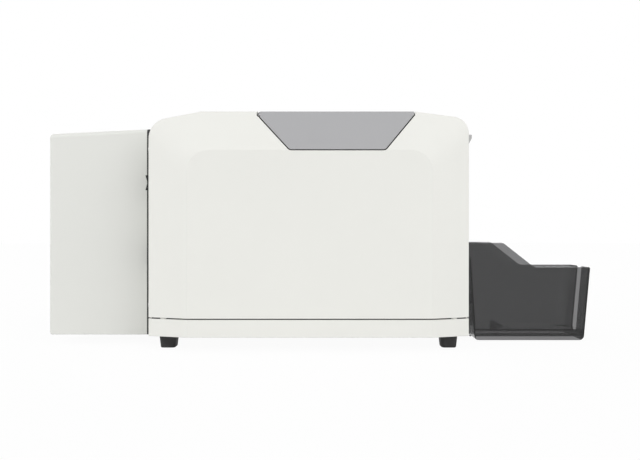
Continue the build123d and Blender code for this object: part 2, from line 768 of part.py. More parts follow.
with BuildPart() as upper_housing:
    add(outer_form)
    split(bisect_by=Plane.XY.offset(seam_z), keep=Keep.TOP)
    add(inner_form, mode=Mode.SUBTRACT)
    # the lid opening, with room for the barrel of its hinge
    with BuildSketch(Plane.XZ):
        with BuildLine():
            draw_lid_outline(lid_gap)
        make_face()
        with Locations(hinge_centre):
            Circle(lid_barrel_radius + lid_gap)
    extrude(amount=half_width + 1, both=True, mode=Mode.SUBTRACT)
    # the front door opening
    with BuildSketch(end_plane(front_face_x - 2 * housing_wall)):
        with Locations((0, (door_low + door_high) / 2)):
            Rectangle(2 * (door_half_width + shut_line), door_high - door_low + 2 * shut_line)
    extrude(amount=3 * housing_wall, mode=Mode.SUBTRACT)
    # the card slots at both ends and the slots that the hopper hooks into
    with BuildSketch(end_plane(front_face_x - 2 * housing_wall)):
        with Locations((0, (exit_slot_low + exit_slot_high) / 2)):
            Rectangle(2 * card_slot_half, exit_slot_high - exit_slot_low)
        for hook_z in hopper_hook_zs:
            with Locations((-hopper_hook_y, hook_z), (hopper_hook_y, hook_z)):
                Rectangle(hopper_hook_width + 0.6, hopper_hook_height + 0.6)
    extrude(amount=3 * housing_wall, mode=Mode.SUBTRACT)
    with BuildSketch(end_plane(rear_face_x - housing_wall)):
        with Locations((0, path_z)):
            Rectangle(2 * card_slot_half, 24)
        with Locations((-rear_strip_y, switch_z)):
            Rectangle(switch_width + 4, switch_height + 6)
        with Locations((-rear_strip_y, inlet_z)):
            RectangleRounded(inlet_width - 4, inlet_height - 4.1, 3)
        with Locations((rear_strip_y - 8, port_z), (rear_strip_y + 10, port_z)):
            Rectangle(15.4, 13.4)
        with Locations((fan_centre_y, fan_z)):
            with GridLocations(0, 4.4, 1, 6):
                SlotOverall(25, 2.4)
    extrude(amount=3 * housing_wall, mode=Mode.SUBTRACT)
    # the control panel opening in the front slope
    with BuildSketch(panel_plane(2 * housing_wall)):
        RectangleRounded(panel_run, panel_width, 3.3)
    extrude(amount=3 * housing_wall, mode=Mode.SUBTRACT)
    # the fixed knuckles of the lid hinge
    for knuckle_y in (-lid_knuckle_y, lid_knuckle_y):
        with BuildSketch(across(knuckle_y + lid_knuckle_width / 2)):
            with Locations(hinge_centre):
                Circle(lid_barrel_radius - 0.4)
            with Locations((hinge_centre[0] - 5, hinge_centre[1])):
                Rectangle(10, 2 * (lid_barrel_radius - 0.6))
        extrude(amount=lid_knuckle_width)
    pin_bore = hinge_pin_radius + 0.02
    turned(hinge_centre, [(-end_half_width, end_half_width, pin_bore)], Mode.SUBTRACT)
    # the ears of the door hinge
    for ear_y in (-door_ear_y - door_ear_width, door_ear_y):
        with BuildSketch(across(ear_y + door_ear_width)):
            with Locations(door_hinge):
                Circle(door_barrel_radius - 1)
                Rectangle(2 * door_barrel_radius - 2, 2 * door_barrel_radius + 4)
                Circle(pin_bore, mode=Mode.SUBTRACT)
        extrude(amount=door_ear_width)
    # screw posts on the seam
    with BuildSketch(Plane.XY.offset(seam_z)):
        with Locations(*post_places):
            Circle(post_radius)
    extrude(amount=12)
    turned(door_hinge, [(-door_ear_y - door_ear_width, door_ear_y + door_ear_width, pin_bore)], Mode.SUBTRACT)
upper_housing.part.label = "upper_housing"
export_step(upper_housing.part, "parts/upper_housing.step")

# ---- chassis --------------------------------------------------------------------------------
plate_rear = body_x - 168
plate_front = body_x + 172
bar_radius = 4.0
bar_places = [
    (plate_rear + 12, floor_z + 20),
    (plate_front - 12, floor_z + 20),
    (plate_rear + 12, 150.0),
    (body_x + 78, 212.0),
    (body_x - 75, 205.0),
]
bush_places = list(feed_centres.values()) + [platen_centre, pick_centre, head_pivot, takeup_centre]
bush_places += [(centre[0], pinch_z) for centre in feed_centres.values()]

with BuildPart() as side_plates:
    for low_y in (-plate_outer_y, plate_inner_y):
        with BuildSketch(across(low_y + plate_thickness)):
            with BuildLine():
                FilletPolyline(
                    (plate_rear, floor_z),
                    (plate_rear, 162),
                    (body_x - 105, 162),
                    (body_x - 92, 214),
                    (body_x - 60, 214),
                    (body_x - 48, 180),
                    (body_x + 60, 180),
                    (body_x + 70, 222),
                    (body_x + 86, 222),
                    (body_x + 86, 226),
                    (plate_front, 226),
                    (plate_front, floor_z),
                    radius=4,
                )
                Line((plate_front, floor_z), (plate_rear, floor_z))
            make_face()
            with Locations(*bar_places):
                Circle(bar_radius, mode=Mode.SUBTRACT)
            with Locations(*bush_places):
                Circle(bush_radius, mode=Mode.SUBTRACT)
            with Locations((body_x - 115, 60), (body_x + 115, 60)):
                RectangleRounded(60, 36, 8, mode=Mode.SUBTRACT)
            with Locations((body_x + 130, 172)):
                RectangleRounded(56, 60, 8, mode=Mode.SUBTRACT)
        extrude(amount=plate_thickness)
    turned(motor_centre, [(-plate_outer_y, -plate_inner_y, bush_radius + 1)], Mode.SUBTRACT)
    for stud in (idler_centre, spool_idler_centre):
        turned(stud, [(gear_y - gear_width - 0.6, -plate_inner_y, 2.5)])
side_plates.part.label = "side_plates"
export_step(side_plates.part, "parts/side_plates.step")

with BuildPart() as chassis_bars:
    for bar in bar_places:
        turned(bar, [(-plate_outer_y - 2, -plate_outer_y, bar_radius + 1.5)])
        turned(bar, [(plate_outer_y, plate_outer_y + 2, bar_radius + 1.5)])
        turned(bar, [(-plate_outer_y, plate_outer_y, bar_radius - 0.02)])
chassis_bars.part.label = "chassis_bars"
export_step(chassis_bars.part, "parts/chassis_bars.step")

with BuildPart() as shaft_bushes:
    for centre in bush_places:
        bore = shaft_radius + running_clearance
        turned(centre, [(-plate_outer_y - 1, -plate_outer_y, bush_radius + 1)])
        turned(centre, [(plate_outer_y, plate_outer_y + 1, bush_radius + 1)])
        turned(centre, [(-plate_outer_y, -plate_inner_y, bush_radius - 0.02)])
        turned(centre, [(plate_inner_y, plate_outer_y, bush_radius - 0.02)])
        turned(centre, [(-half_width, half_width, bore)], Mode.SUBTRACT)
shaft_bushes.part.label = "shaft_bushes"
export_step(shaft_bushes.part, "parts/shaft_bushes.step")

# ---- feed rollers, platen and pinch rollers -------------------------------------------------
shaft_end = plate_outer_y + 2
pulley_flange = pulley_radius + belt_thickness + 0.8
rear_belt_y = (belt_y - belt_width, belt_y)
front_belt_y = (belt_y - 2 * belt_width - 3, belt_y - belt_width - 3)
far_belt_y = (plate_outer_y + 3, plate_outer_y + 3 + belt_width)


def pulley_steps(belt_band):
    """A flanged pulley for one belt."""
    low, high = belt_band
    return [
        (low - 1.3, low - 0.3, pulley_flange),
        (low - 0.3, high + 0.3, pulley_radius),
        (high + 0.3, high + 1.3, pulley_flange),
    ]


pulley_bands = {
    "rear_feed_roller": [rear_belt_y],
    "inner_feed_roller": [rear_belt_y],
    "front_feed_roller": [front_belt_y, far_belt_y],
    "exit_feed_roller": [front_belt_y],
}
for roller_name, centre in feed_centres.items():
    with BuildPart() as feed_roller:
        bands = pulley_bands[roller_name]
        near_end = min(band[0] for band in bands) - 1.3
        far_end = max([plate_outer_y + 2] + [band[1] + 1.3 for band in bands])
        turned(centre, [(near_end, far_end, shaft_radius), (-tyre_half_width, tyre_half_width, 5.0)])
        turned(centre, [(-22, -8, roller_radius), (8, 22, roller_radius)])
        for band in bands:
            turned(centre, pulley_steps(band))
    feed_roller.part.label = roller_name
    export_step(feed_roller.part, "parts/" + roller_name + ".step")

with BuildPart() as platen_roller:
    turned(platen_centre, [(front_belt_y[0] - 1.3, plate_outer_y + 2, shaft_radius)])
    turned(platen_centre, [(-tyre_half_width - 4, tyre_half_width + 4, roller_radius)])
    turned(platen_centre, pulley_steps(rear_belt_y) + pulley_steps(front_belt_y))
platen_roller.part.label = "platen_roller"
export_step(platen_roller.part, "parts/platen_roller.step")

with BuildPart() as platen_gear:
    with BuildSketch(across(gear_y)):
        with BuildLine():
            Polyline(*gear_outline(platen_teeth, platen_centre, 0), close=True)
        make_face()
        with Locations(platen_centre):
            Circle(shaft_radius, mode=Mode.SUBTRACT)
    extrude(amount=gear_width)
platen_gear.part.label = "platen_gear"
export_step(platen_gear.part, "parts/platen_gear.step")

for pinch_name, feed_name in pinch_names.items():
    pinch_centre = (feed_centres[feed_name][0], pinch_z)
    with BuildPart() as pinch_roller:
        turned(pinch_centre, [(-shaft_end, shaft_end, shaft_radius)])
        turned(pinch_centre, [(-tyre_half_width, tyre_half_width, pinch_radius)])
    pinch_roller.part.label = pinch_name
    export_step(pinch_roller.part, "parts/" + pinch_name + ".step")

# ---- gear train, motor and belts ------------------------------------------------------------
stud_bore = 2.5 + running_clearance
idler_gears = {
    "drive_idler": (idler_teeth, idler_centre, idler_phase),
    "spool_idler": (spool_idler_teeth, spool_idler_centre, spool_idler_phase),
}
for idler_name, (teeth, centre, phase) in idler_gears.items():
    with BuildPart() as idler_gear:
        with BuildSketch(across(gear_y)):
            with BuildLine():
                Polyline(*gear_outline(teeth, centre, phase), close=True)
            make_face()
            with Locations(centre):
                Circle(stud_bore, mode=Mode.SUBTRACT)
                with PolarLocations(gear_module * teeth / 4, 5):
                    Circle(gear_module * teeth / 14, mode=Mode.SUBTRACT)
        extrude(amount=gear_width)
        with BuildSketch(across(gear_y + 2.2)):
            with Locations(centre):
                Circle(5)
                Circle(stud_bore, mode=Mode.SUBTRACT)
        extrude(amount=2.2)
    idler_gear.part.label = idler_name
    export_step(idler_gear.part, "parts/" + idler_name + ".step")

motor_size = 40.0
motor_depth = 36.0
with BuildPart() as drive_motor:
    with BuildSketch(across(-plate_inner_y + motor_depth)):
        with Locations(motor_centre):
            RectangleRounded(motor_size, motor_size, 4)
    extrude(amount=motor_depth)
    turned(motor_centre, [(-plate_outer_y - 0.5, -plate_inner_y, bush_radius + 0.8)])
    turned(motor_centre, [(gear_y - gear_width - 1, -plate_outer_y, 2.5)])
drive_motor.part.label = "drive_motor"
export_step(drive_motor.part, "parts/drive_motor.step")

with BuildPart() as motor_pinion:
    with BuildSketch(across(gear_y)):
        with BuildLine():
            Polyline(*gear_outline(pinion_teeth, motor_centre, pinion_phase), close=True)
        make_face()
        with Locations(motor_centre):
            Circle(stud_bore, mode=Mode.SUBTRACT)
    extrude(amount=gear_width)
motor_pinion.part.label = "motor_pinion"
export_step(motor_pinion.part, "parts/motor_pinion.step")

belt_runs = [
    (feed_centres["rear_feed_roller"], platen_centre, rear_belt_y),
    (platen_centre, feed_centres["exit_feed_roller"], front_belt_y),
    (feed_centres["front_feed_roller"], pick_centre, far_belt_y),
]
with BuildPart() as drive_belts:
    for first, last, band in belt_runs:
        inner = pulley_radius + 0.3
        run = hypot(last[0] - first[0], last[1] - first[1])
        tilt = degrees(atan2(last[1] - first[1], last[0] - first[0]))
        middle = ((first[0] + last[0]) / 2, (first[1] + last[1]) / 2)
        with BuildSketch(across(band[1])):
            with Locations(Location((middle[0], middle[1], 0), (0, 0, tilt))):
                SlotCenterToCenter(run, 2 * (inner + belt_thickness))
                SlotCenterToCenter(run, 2 * inner, mode=Mode.SUBTRACT)
        extrude(amount=band[1] - band[0])
drive_belts.part.label = "drive_belts"
export_step(drive_belts.part, "parts/drive_belts.step")

# ---- card cassette and pick roller ----------------------------------------------------------
cassette_front = cassette_rear + card_length + 2.0
cassette_half = card_width / 2 + 0.5
cassette_floor = cassette_low + cassette_wall
pick_window = (26.0, 24.0)

with BuildPart() as card_cassette:
    with BuildSketch(Plane.XY.offset(cassette_low)):
        with Locations((body_x + (cassette_rear + cassette_front) / 2, 0)):
            Rectangle(cassette_front - cassette_rear, 2 * (cassette_half + cassette_wall))
        with Locations((body_x + pick_reach, 0)):
            Rectangle(*pick_window, mode=Mode.SUBTRACT)
    extrude(amount=cassette_wall)
    with BuildSketch(Plane.XY.offset(cassette_low)):
        for wall_y in (-cassette_half - cassette_wall / 2, cassette_half + cassette_wall / 2):
            with Locations((body_x + (cassette_rear + cassette_front) / 2, wall_y)):
                Rectangle(cassette_front - cassette_rear, cassette_wall)
        with Locations((body_x + cassette_rear - cassette_wall / 2, 0)):
            Rectangle(cassette_wall, 2 * (cassette_half + cassette_wall))
    extrude(amount=cassette_height)
    with BuildSketch(end_plane(body_x + cassette_rear - 2 * cassette_wall)):
        with Locations((0, cassette_floor)):
            Rectangle(2 * cassette_half, 3)
    extrude(amount=3 * cassette_wall, mode=Mode.SUBTRACT)
    with BuildSketch(end_plane(body_x + cassette_front)):
        for wall_y in (-cassette_half + 2.5, cassette_half - 2.5):
            with Locations((wall_y, cassette_floor + 3)):
                Rectangle(5, 6)
    extrude(amount=-1.5)
    with BuildSketch(Plane.XY.offset(cassette_low + 20)):
        for shelf_y in (-(cassette_half + plate_inner_y) / 2 - 1, (cassette_half + plate_inner_y) / 2 + 1):
            with Locations((body_x + (cassette_rear + cassette_front) / 2, shelf_y)):
                Rectangle(70, plate_inner_y - cassette_half - cassette_wall)
    extrude(amount=3)
card_cassette.part.label = "card_cassette"
export_step(card_cassette.part, "parts/card_cassette.step")

with BuildPart() as card_stack:
    with BuildSketch(Plane.XY.offset(cassette_floor)):
        with Locations((body_x + cassette_rear + card_length / 2 + 0.4, 0)):
            RectangleRounded(card_length - 2.6, card_width, 3.2)
    extrude(amount=stack_height)
card_stack.part.label = "card_stack"
export_step(card_stack.part, "parts/card_stack.step")

follower_z = cassette_floor + stack_height
with BuildPart() as card_follower:
    with BuildSketch(Plane.XY.offset(follower_z)):
        with Locations((body_x + cassette_rear + card_length / 2 + 0.4, 0)):
            RectangleRounded(card_length - 8, card_width - 2, 4)
            RectangleRounded(card_length - 40, card_width - 30, 4, mode=Mode.SUBTRACT)
    extrude(amount=6)
    with BuildSketch(Plane.XY.offset(follower_z)):
        with Locations((body_x + cassette_rear + card_length / 2 + 0.4, 0)):
            Rectangle(12, card_width - 6)
    extrude(amount=9)
card_follower.part.label = "card_follower"
export_step(card_follower.part, "parts/card_follower.step")

with BuildPart() as pick_roller:
    turned(pick_centre, [(-shaft_end, far_belt_y[1] + 1.3, shaft_radius)])
    turned(pick_centre, [(-10, 10, pick_radius)])
    turned(pick_centre, pulley_steps(far_belt_y))
pick_roller.part.label = "pick_roller"
export_step(pick_roller.part, "parts/pick_roller.step")

# ---- ribbon cartridge and its spools --------------------------------------------------------
cheek_y = 41.0
cheek_thickness = 1.5
cheek_rear = body_x - 72.0
cheek_front = body_x + 66.0

with BuildPart() as ribbon_cartridge:
    for low_y in (-cheek_y - cheek_thickness, cheek_y):
        with BuildSketch(across(low_y + cheek_thickness)):
            with BuildLine():
                FilletPolyline(
                    (cheek_rear, 150),
                    (cheek_rear, 196),
                    (cheek_front, 196),
                    (cheek_front, 150),
                    (body_x + 26, 150),
                    (body_x + 26, 180),
                    (body_x - 22, 180),
                    (body_x - 22, 150),
                    radius=5,
                )
                Line((body_x - 22, 150), (cheek_rear, 150))
            make_face()
            with Locations(supply_centre, takeup_centre):
                Circle(journal_radius + running_clearance, mode=Mode.SUBTRACT)
        extrude(amount=cheek_thickness)
    for bar_x in (cheek_rear + 4, cheek_front - 4, body_x + 2):
        with BuildSketch(across(cheek_y)):
            with Locations((bar_x, 191)):
                RectangleRounded(8, 8, 2)
        extrude(amount=2 * cheek_y)
    with BuildSketch(across(cheek_y + cheek_thickness + 2.5)):
        with Locations((cheek_rear + 6, 158), (cheek_front - 6, 158)):
            Rectangle(6, 6)
    extrude(amount=2.5)
    with BuildSketch(across(-cheek_y - cheek_thickness)):
        with Locations((cheek_rear + 6, 158), (cheek_front - 6, 158)):
            Rectangle(6, 6)
    extrude(amount=2.5)
ribbon_cartridge.part.label = "ribbon_cartridge"
export_step(ribbon_cartridge.part, "parts/ribbon_cartridge.step")

spool_bore_end = cheek_y + cheek_thickness + 0.5
with BuildPart() as supply_spool:
    turned(supply_centre, [(-spool_bore_end, spool_bore_end, journal_radius)])
    turned(supply_centre, [(-spool_half_width, spool_half_width, supply_radius)])
    turned(supply_centre, [(-spool_half_width - 2, spool_half_width + 2, 9)])
supply_spool.part.label = "supply_spool"
export_step(supply_spool.part, "parts/supply_spool.step")

with BuildPart() as takeup_spool:
    turned(takeup_centre, [(-spool_bore_end, spool_bore_end, journal_radius)])
    turned(takeup_centre, [(-spool_half_width, spool_half_width, takeup_radius)])
    turned(takeup_centre, [(-spool_half_width - 2, spool_half_width + 2, 9)])
takeup_spool.part.label = "takeup_spool"
export_step(takeup_spool.part, "parts/takeup_spool.step")

with BuildPart() as takeup_gear:
    with BuildSketch(across(gear_y)):
        with BuildLine():
            Polyline(*gear_outline(takeup_teeth, takeup_centre, takeup_phase), close=True)
        make_face()
    extrude(amount=gear_width)
    turned(takeup_centre, [(gear_y, -spool_bore_end, shaft_radius)])
takeup_gear.part.label = "takeup_gear"
export_step(takeup_gear.part, "parts/takeup_gear.step")

film_thickness = 0.3
film_z = path_z + card_thickness + 1.6
film_rear = body_x - 12.0
film_front = body_x + 16.0


def film_tangent(point, centre, radius, side):
    """Where the film from a guide point meets a spool."""
    span = hypot(centre[0] - point[0], centre[1] - point[1])
    line = atan2(centre[1] - point[1], centre[0] - point[0]) + side * asin(radius / span)
    reach = sqrt(span**2 - radius**2)
    return (point[0] + reach * cos(line), point[1] + reach * sin(line))


supply_end = film_tangent((film_rear, film_z), supply_centre, supply_radius + seat_clearance, -1)
takeup_end = film_tangent((film_front, film_z), takeup_centre, takeup_radius + seat_clearance, 1)
with BuildPart() as ribbon_film:
    with BuildSketch(across(spool_half_width - 2)):
        with BuildLine():
            FilletPolyline(
                supply_end, (film_rear, film_z), (film_front, film_z), takeup_end, radius=2
            )
        trace(line_width=film_thickness)
    extrude(amount=2 * spool_half_width - 4)
ribbon_film.part.label = "ribbon_film"
export_step(ribbon_film.part, "parts/ribbon_film.step")

# ---- print head on its swinging carrier -----------------------------------------------------
arm_low_y = 36.5
arm_high_y = 39.5
head_front = body_x + 12.0
head_low = film_z + 0.9

with BuildPart() as head_carrier:
    for low_y in (-arm_high_y, arm_low_y):
        with BuildSketch(across(low_y + arm_high_y - arm_low_y)):
            with BuildLine():
                FilletPolyline(
                    (head_pivot[0] - 7, head_pivot_z - 6),
                    (head_pivot[0] - 7, head_pivot_z + 6),
                    (head_front, head_pivot_z + 10),
                    (head_front, head_low + 13),
                    (body_x - 8, head_low + 13),
                    (body_x - 20, head_pivot_z - 6),
                    radius=4,
                )
                Line((body_x - 20, head_pivot_z - 6), (head_pivot[0] - 7, head_pivot_z - 6))
            make_face()
        extrude(amount=arm_high_y - arm_low_y)
    with BuildSketch(across(arm_low_y)):
        with Locations((body_x + 2, head_low + 15)):
            Rectangle(20, 4)
        with Locations((body_x + 2, head_low + 25)):
            Rectangle(6, 18)
    extrude(amount=2 * arm_low_y)
    turned(head_pivot, [(-shaft_end, shaft_end, shaft_radius), (-arm_low_y, arm_low_y, 4.5)])
head_carrier.part.label = "head_carrier"
export_step(head_carrier.part, "parts/head_carrier.step")

with BuildPart() as print_head:
    with BuildSketch(across(spool_half_width - 3)):
        with BuildLine():
            Polyline(
                (body_x - 6, head_low + 13),
                (body_x - 6, head_low + 3),
                (body_x, head_low),
                (body_x + 4, head_low),
                (body_x + 10, head_low + 3),
                (body_x + 10, head_low + 13),
                close=True,
            )
        make_face()
    extrude(amount=2 * spool_half_width - 6)
print_head.part.label = "print_head"
export_step(print_head.part, "parts/print_head.step")

# ---- power supply and main board ------------------------------------------------------------
supply_box = (110.0, 36.0, 50.0)
board_y = plate_outer_y + 12.0
with BuildPart() as power_supply:
    with BuildSketch(Plane.XY.offset(floor_z)):
        with Locations((body_x - 105, plate_outer_y + 8 + supply_box[1] / 2)):
            RectangleRounded(supply_box[0], supply_box[1], 2)
    extrude(amount=supply_box[2])
    with BuildSketch(Plane.XY.offset(floor_z + supply_box[2])):
        with Locations((body_x - 105, plate_outer_y + 8 + supply_box[1] / 2)):
            with GridLocations(14, 24, 7, 1):
                SlotOverall(26, 4, rotation=90)
    extrude(amount=-1.5, mode=Mode.SUBTRACT)
power_supply.part.label = "power_supply"
export_step(power_supply.part, "parts/power_supply.step")

board_middle = (body_x + 45, 96.0)
with BuildPart() as main_board:
    with BuildSketch(across(board_y + 1.6)):
        with Locations(board_middle):
            Rectangle(150, 110)
    extrude(amount=1.6)
    with BuildSketch(across(board_y)):
        with Locations(board_middle):
            with GridLocations(138, 98, 2, 2):
                Circle(2.5)
    extrude(amount=board_y - plate_outer_y)
    with BuildSketch(across(board_y + 1.6)):
        with Locations((board_middle[0] - 10, board_middle[1])):
            Rectangle(26, 26)
        with Locations((board_middle[0] + 35, board_middle[1] + 25)):
            Rectangle(16, 22)
        with Locations((board_middle[0] - 50, board_middle[1] - 20)):
            Rectangle(18, 12)
    extrude(amount=-3)
    with BuildSketch(across(board_y + 1.6)):
        with Locations((board_middle[0] + 45, board_middle[1] - 25)):
            with GridLocations(14, 0, 3, 1):
                Circle(5)
    extrude(amount=-14)
main_board.part.label = "main_board"
export_step(main_board.part, "parts/main_board.step")

# ---- output hopper --------------------------------------------------------------------------
hopper_rear = front_face_x + 0.3
tub_rear = front_face_x + hopper_neck
hopper_front_top = front_face_x + hopper_reach
hopper_front_low = hopper_front_top - hopper_lean
hopper_slope_start = front_face_x + hopper_top_length
hopper_slope_end = hopper_slope_start + hopper_slope_run
hopper_half = hopper_width / 2
hopper_mouth_z = exit_slot_low - 5


def draw_hopper_side():
    """The side wall of the hopper."""
    FilletPolyline(
        (hopper_rear, hopper_neck_low),
        (tub_rear, hopper_neck_low),
        (tub_rear, hopper_low),
        (hopper_front_low, hopper_low),
        (hopper_front_top, hopper_rim),
        (hopper_slope_end, hopper_rim),
        (hopper_slope_start, hopper_top),
        (hopper_rear, hopper_top),
        radius=[1.5, 5.0, 6.0, 2.0, 9.0, 9.0],
    )
    Line((hopper_rear, hopper_top), (hopper_rear, hopper_neck_low))


lean_per_rise = hopper_lean / (hopper_rim - hopper_low)
with BuildPart() as output_hopper:
    with BuildSketch(Plane.XZ):
        with BuildLine():
            draw_hopper_side()
        make_face()
    extrude(amount=hopper_half, both=True)
    # the well, open at the top, with its sloped rear wall
    well_rear_top = front_face_x + 16.5
    well_rear_low = tub_rear + hopper_wall
    well_front = hopper_front_low + (hopper_floor - hopper_low) * lean_per_rise - hopper_wall
    with BuildSketch(Plane.XZ):
        with BuildLine():
            Polyline(
                (well_rear_top + hopper_wall, hopper_top + 5),
                (well_rear_top + hopper_wall, hopper_mouth_z),
                (well_rear_low, hopper_floor),
                (well_front, hopper_floor),
                (hopper_front_top - hopper_wall, hopper_rim),
                (hopper_front_top - hopper_wall, hopper_top + 5),
                close=True,
            )
        make_face()
    extrude(amount=hopper_half - hopper_wall, both=True, mode=Mode.SUBTRACT)
    # behind the rear wall and above it, open to the exit slot
    with BuildSketch(Plane.XZ):
        with BuildLine():
            Polyline(
                (hopper_rear - 1, hopper_top + 5),
                (hopper_rear - 1, hopper_neck_low - 1),
                (tub_rear - 0.3, hopper_neck_low - 1),
                (well_rear_top, hopper_mouth_z),
                (well_rear_top + hopper_wall + 1, hopper_mouth_z),
                (well_rear_top + hopper_wall + 1, hopper_top + 5),
                close=True,
            )
        make_face()
    extrude(amount=hopper_half - hopper_wall, both=True, mode=Mode.SUBTRACT)
    # under the floor
    with BuildSketch(Plane.XZ):
        with BuildLine():
            Polyline(
                (tub_rear + hopper_wall, hopper_low - 1),
                (tub_rear + hopper_wall, hopper_floor - hopper_wall),
                (hopper_front_low - 1.5 * hopper_wall, hopper_floor - hopper_wall),
                (hopper_front_low - 1.5 * hopper_wall, hopper_low - 1),
                close=True,
            )
        make_face()
    extrude(amount=hopper_half - hopper_wall, both=True, mode=Mode.SUBTRACT)
    # thumb slot down the front wall and into the floor
    with BuildSketch(Plane.XY.offset(hopper_neck_low)):
        with Locations((hopper_front_low, 0)):
            SlotOverall(thumb_slot_length, thumb_slot)
    extrude(amount=hopper_top, mode=Mode.SUBTRACT)
    # the sloped rib that stops the cards, and the rail under the floor
    with BuildSketch(across(stop_rib_thickness / 2)):
        with BuildLine():
            rib_x = front_face_x + stop_rib_reach
            Polyline(
                (rib_x, hopper_floor),
                (rib_x, hopper_floor + stop_rib_height),
                (rib_x + stop_rib_run, hopper_floor),
                close=True,
            )
        make_face()
    extrude(amount=stop_rib_thickness)
    keel_length = hopper_front_low - tub_rear - hopper_wall
    with BuildSketch(Plane.XY.offset(hopper_low)):
        with Locations((tub_rear + hopper_wall / 2 + keel_length / 2, 0)):
            Rectangle(keel_length, keel_thickness)
    extrude(amount=keel_height)
    # the hooks that hold it in the front of the housing
    for hook_z in hopper_hook_zs:
        for hook_y in (-hopper_hook_y, hopper_hook_y):
            wall_x = well_rear_top + (well_rear_low - well_rear_top) * (
                (hopper_mouth_z - hook_z) / (hopper_mouth_z - hopper_floor)
            )
            with BuildSketch(end_plane(front_face_x - hook_depth)):
                with Locations((hook_y, hook_z)):
                    Rectangle(hopper_hook_width, hopper_hook_height)
            extrude(amount=wall_x - front_face_x + hook_depth + 0.8)
output_hopper.part.label = "output_hopper"
export_step(output_hopper.part, "parts/output_hopper.step")

# ---- flipper module -------------------------------------------------------------------------
flipper_rear_x = rear_face_x - flipper_length
flipper_half = flipper_width / 2
drum_reach = 66.0             # drum axis behind the rear face of the body
drum_radius = 46.0
drum_centre = (rear_face_x - drum_reach, path_z + card_thickness / 2)
disc_y = 32.0
disc_thickness = 3.0
frame_y = 48.0
drum_teeth = 48
drum_gear_y = -frame_y - plate_thickness - 1.0
drum_pinion_centre = (drum_centre[0], drum_centre[1] - gear_module * (drum_teeth + pinion_teeth) / 2)
drum_pinion_phase = mesh_phase(drum_centre, drum_teeth, 0, drum_pinion_centre, pinion_teeth)


def flipper_form(inset):
    """Outer form of the flipper housing, run on into the body."""
    slope = tan(radians(flipper_slope_angle))
    front = rear_face_x + 24
    rear = flipper_rear_x + inset
    top_rear = flipper_front_height - flipper_length * slope - inset
    top_front = flipper_front_height + 24 * slope - inset
    with BuildPart() as form:
        with BuildSketch(Plane.XZ):
            with BuildLine():
                Polyline(
                    (front, flipper_low + inset),
                    (rear, flipper_low + inset),
                    (rear, top_rear),
                    (front, top_front),
                    close=True,
                )
            make_face()
        extrude(amount=flipper_half - inset, both=True)
        rear_edges = form.edges().group_by(Axis.X)[0]
        fillet(rear_edges + form.faces().sort_by(Axis.Z)[-1].edges().filter_by_position(
            Axis.Y, -flipper_half + inset, -flipper_half + inset
        ) + form.faces().sort_by(Axis.Z)[-1].edges().filter_by_position(
            Axis.Y, flipper_half - inset, flipper_half - inset
        ), flipper_corner - inset)
    return form.part


shut_form = body_form(-shut_line)
with BuildPart() as flipper_housing:
    add(flipper_form(0))
    split(bisect_by=Plane.YZ.offset(rear_face_x - flipper_neck_length), keep=Keep.BOTTOM)
    add(flipper_form(flipper_neck_depth))
    add(flipper_form(flipper_wall), mode=Mode.SUBTRACT)
    with BuildSketch(end_plane(rear_face_x + 23)):
        with Locations((0, flipper_low + 130)):
            Rectangle(flipper_width - 2 * flipper_wall, 240)
    extrude(amount=10, mode=Mode.SUBTRACT)
    add(shut_form, mode=Mode.SUBTRACT)
    # lugs that meet the rear face of the body
    with BuildSketch(end_plane(rear_face_x - 12)):
        for lug_z in (50.0, 215.0):
            lug_y = flipper_half - flipper_wall - 2.5
            with Locations((-lug_y, lug_z), (lug_y, lug_z)):
                Rectangle(5, 12)
    extrude(amount=12)
    # vents low in the rear wall
    with BuildSketch(end_plane(flipper_rear_x - 1)):
        with Locations((0, 48)):
            with GridLocations(0, 6, 1, 6):
                SlotOverall(60, 2.4)
    extrude(amount=flipper_wall + 2, mode=Mode.SUBTRACT)
flipper_housing.part.label = "flipper_housing"
export_step(flipper_housing.part, "parts/flipper_housing.step")

frame_low = flipper_low + flipper_wall
with BuildPart() as flipper_frame:
    for low_y in (-frame_y - plate_thickness, frame_y):
        with BuildSketch(across(low_y + plate_thickness)):
            with BuildLine():
                FilletPolyline(
                    (drum_centre[0] - 56, frame_low),
                    (drum_centre[0] - 56, drum_centre[1] + 20),
                    (drum_centre[0] - 25, drum_centre[1] + 60),
                    (drum_centre[0] + 25, drum_centre[1] + 60),
                    (drum_centre[0] + 56, drum_centre[1] + 20),
                    (drum_centre[0] + 56, frame_low),
                    radius=8,
                )
                Line((drum_centre[0] + 56, frame_low), (drum_centre[0] - 56, frame_low))
            make_face()
            with Locations(drum_centre):
                Circle(journal_radius + running_clearance, mode=Mode.SUBTRACT)
            with Locations((drum_centre[0] - 33, 40), (drum_centre[0] + 33, 40)):
                RectangleRounded(26, 30, 6, mode=Mode.SUBTRACT)
            with Locations((drum_centre[0], drum_centre[1] + 38)):
                RectangleRounded(44, 22, 6, mode=Mode.SUBTRACT)
        extrude(amount=plate_thickness)
    turned(drum_pinion_centre, [(-frame_y - plate_thickness, -frame_y, 4.0)], Mode.SUBTRACT)
    for bar in ((drum_centre[0] - 50, frame_low + 6), (drum_centre[0] + 50, frame_low + 6)):
        turned(bar, [(-frame_y, frame_y, bar_radius)])
    turned((drum_centre[0], drum_centre[1] + 54), [(-frame_y, frame_y, bar_radius)])
    # guides that lead a card from the body into the drum
    for guide_low in (path_z - 2.4, path_z + card_thickness + 0.9):
        with BuildSketch(Plane.XY.offset(guide_low)):
            with Locations((drum_centre[0] + 56, 0)):
                Rectangle(12, 2 * frame_y)
        extrude(amount=1.5)
flipper_frame.part.label = "flipper_frame"
export_step(flipper_frame.part, "parts/flipper_frame.step")

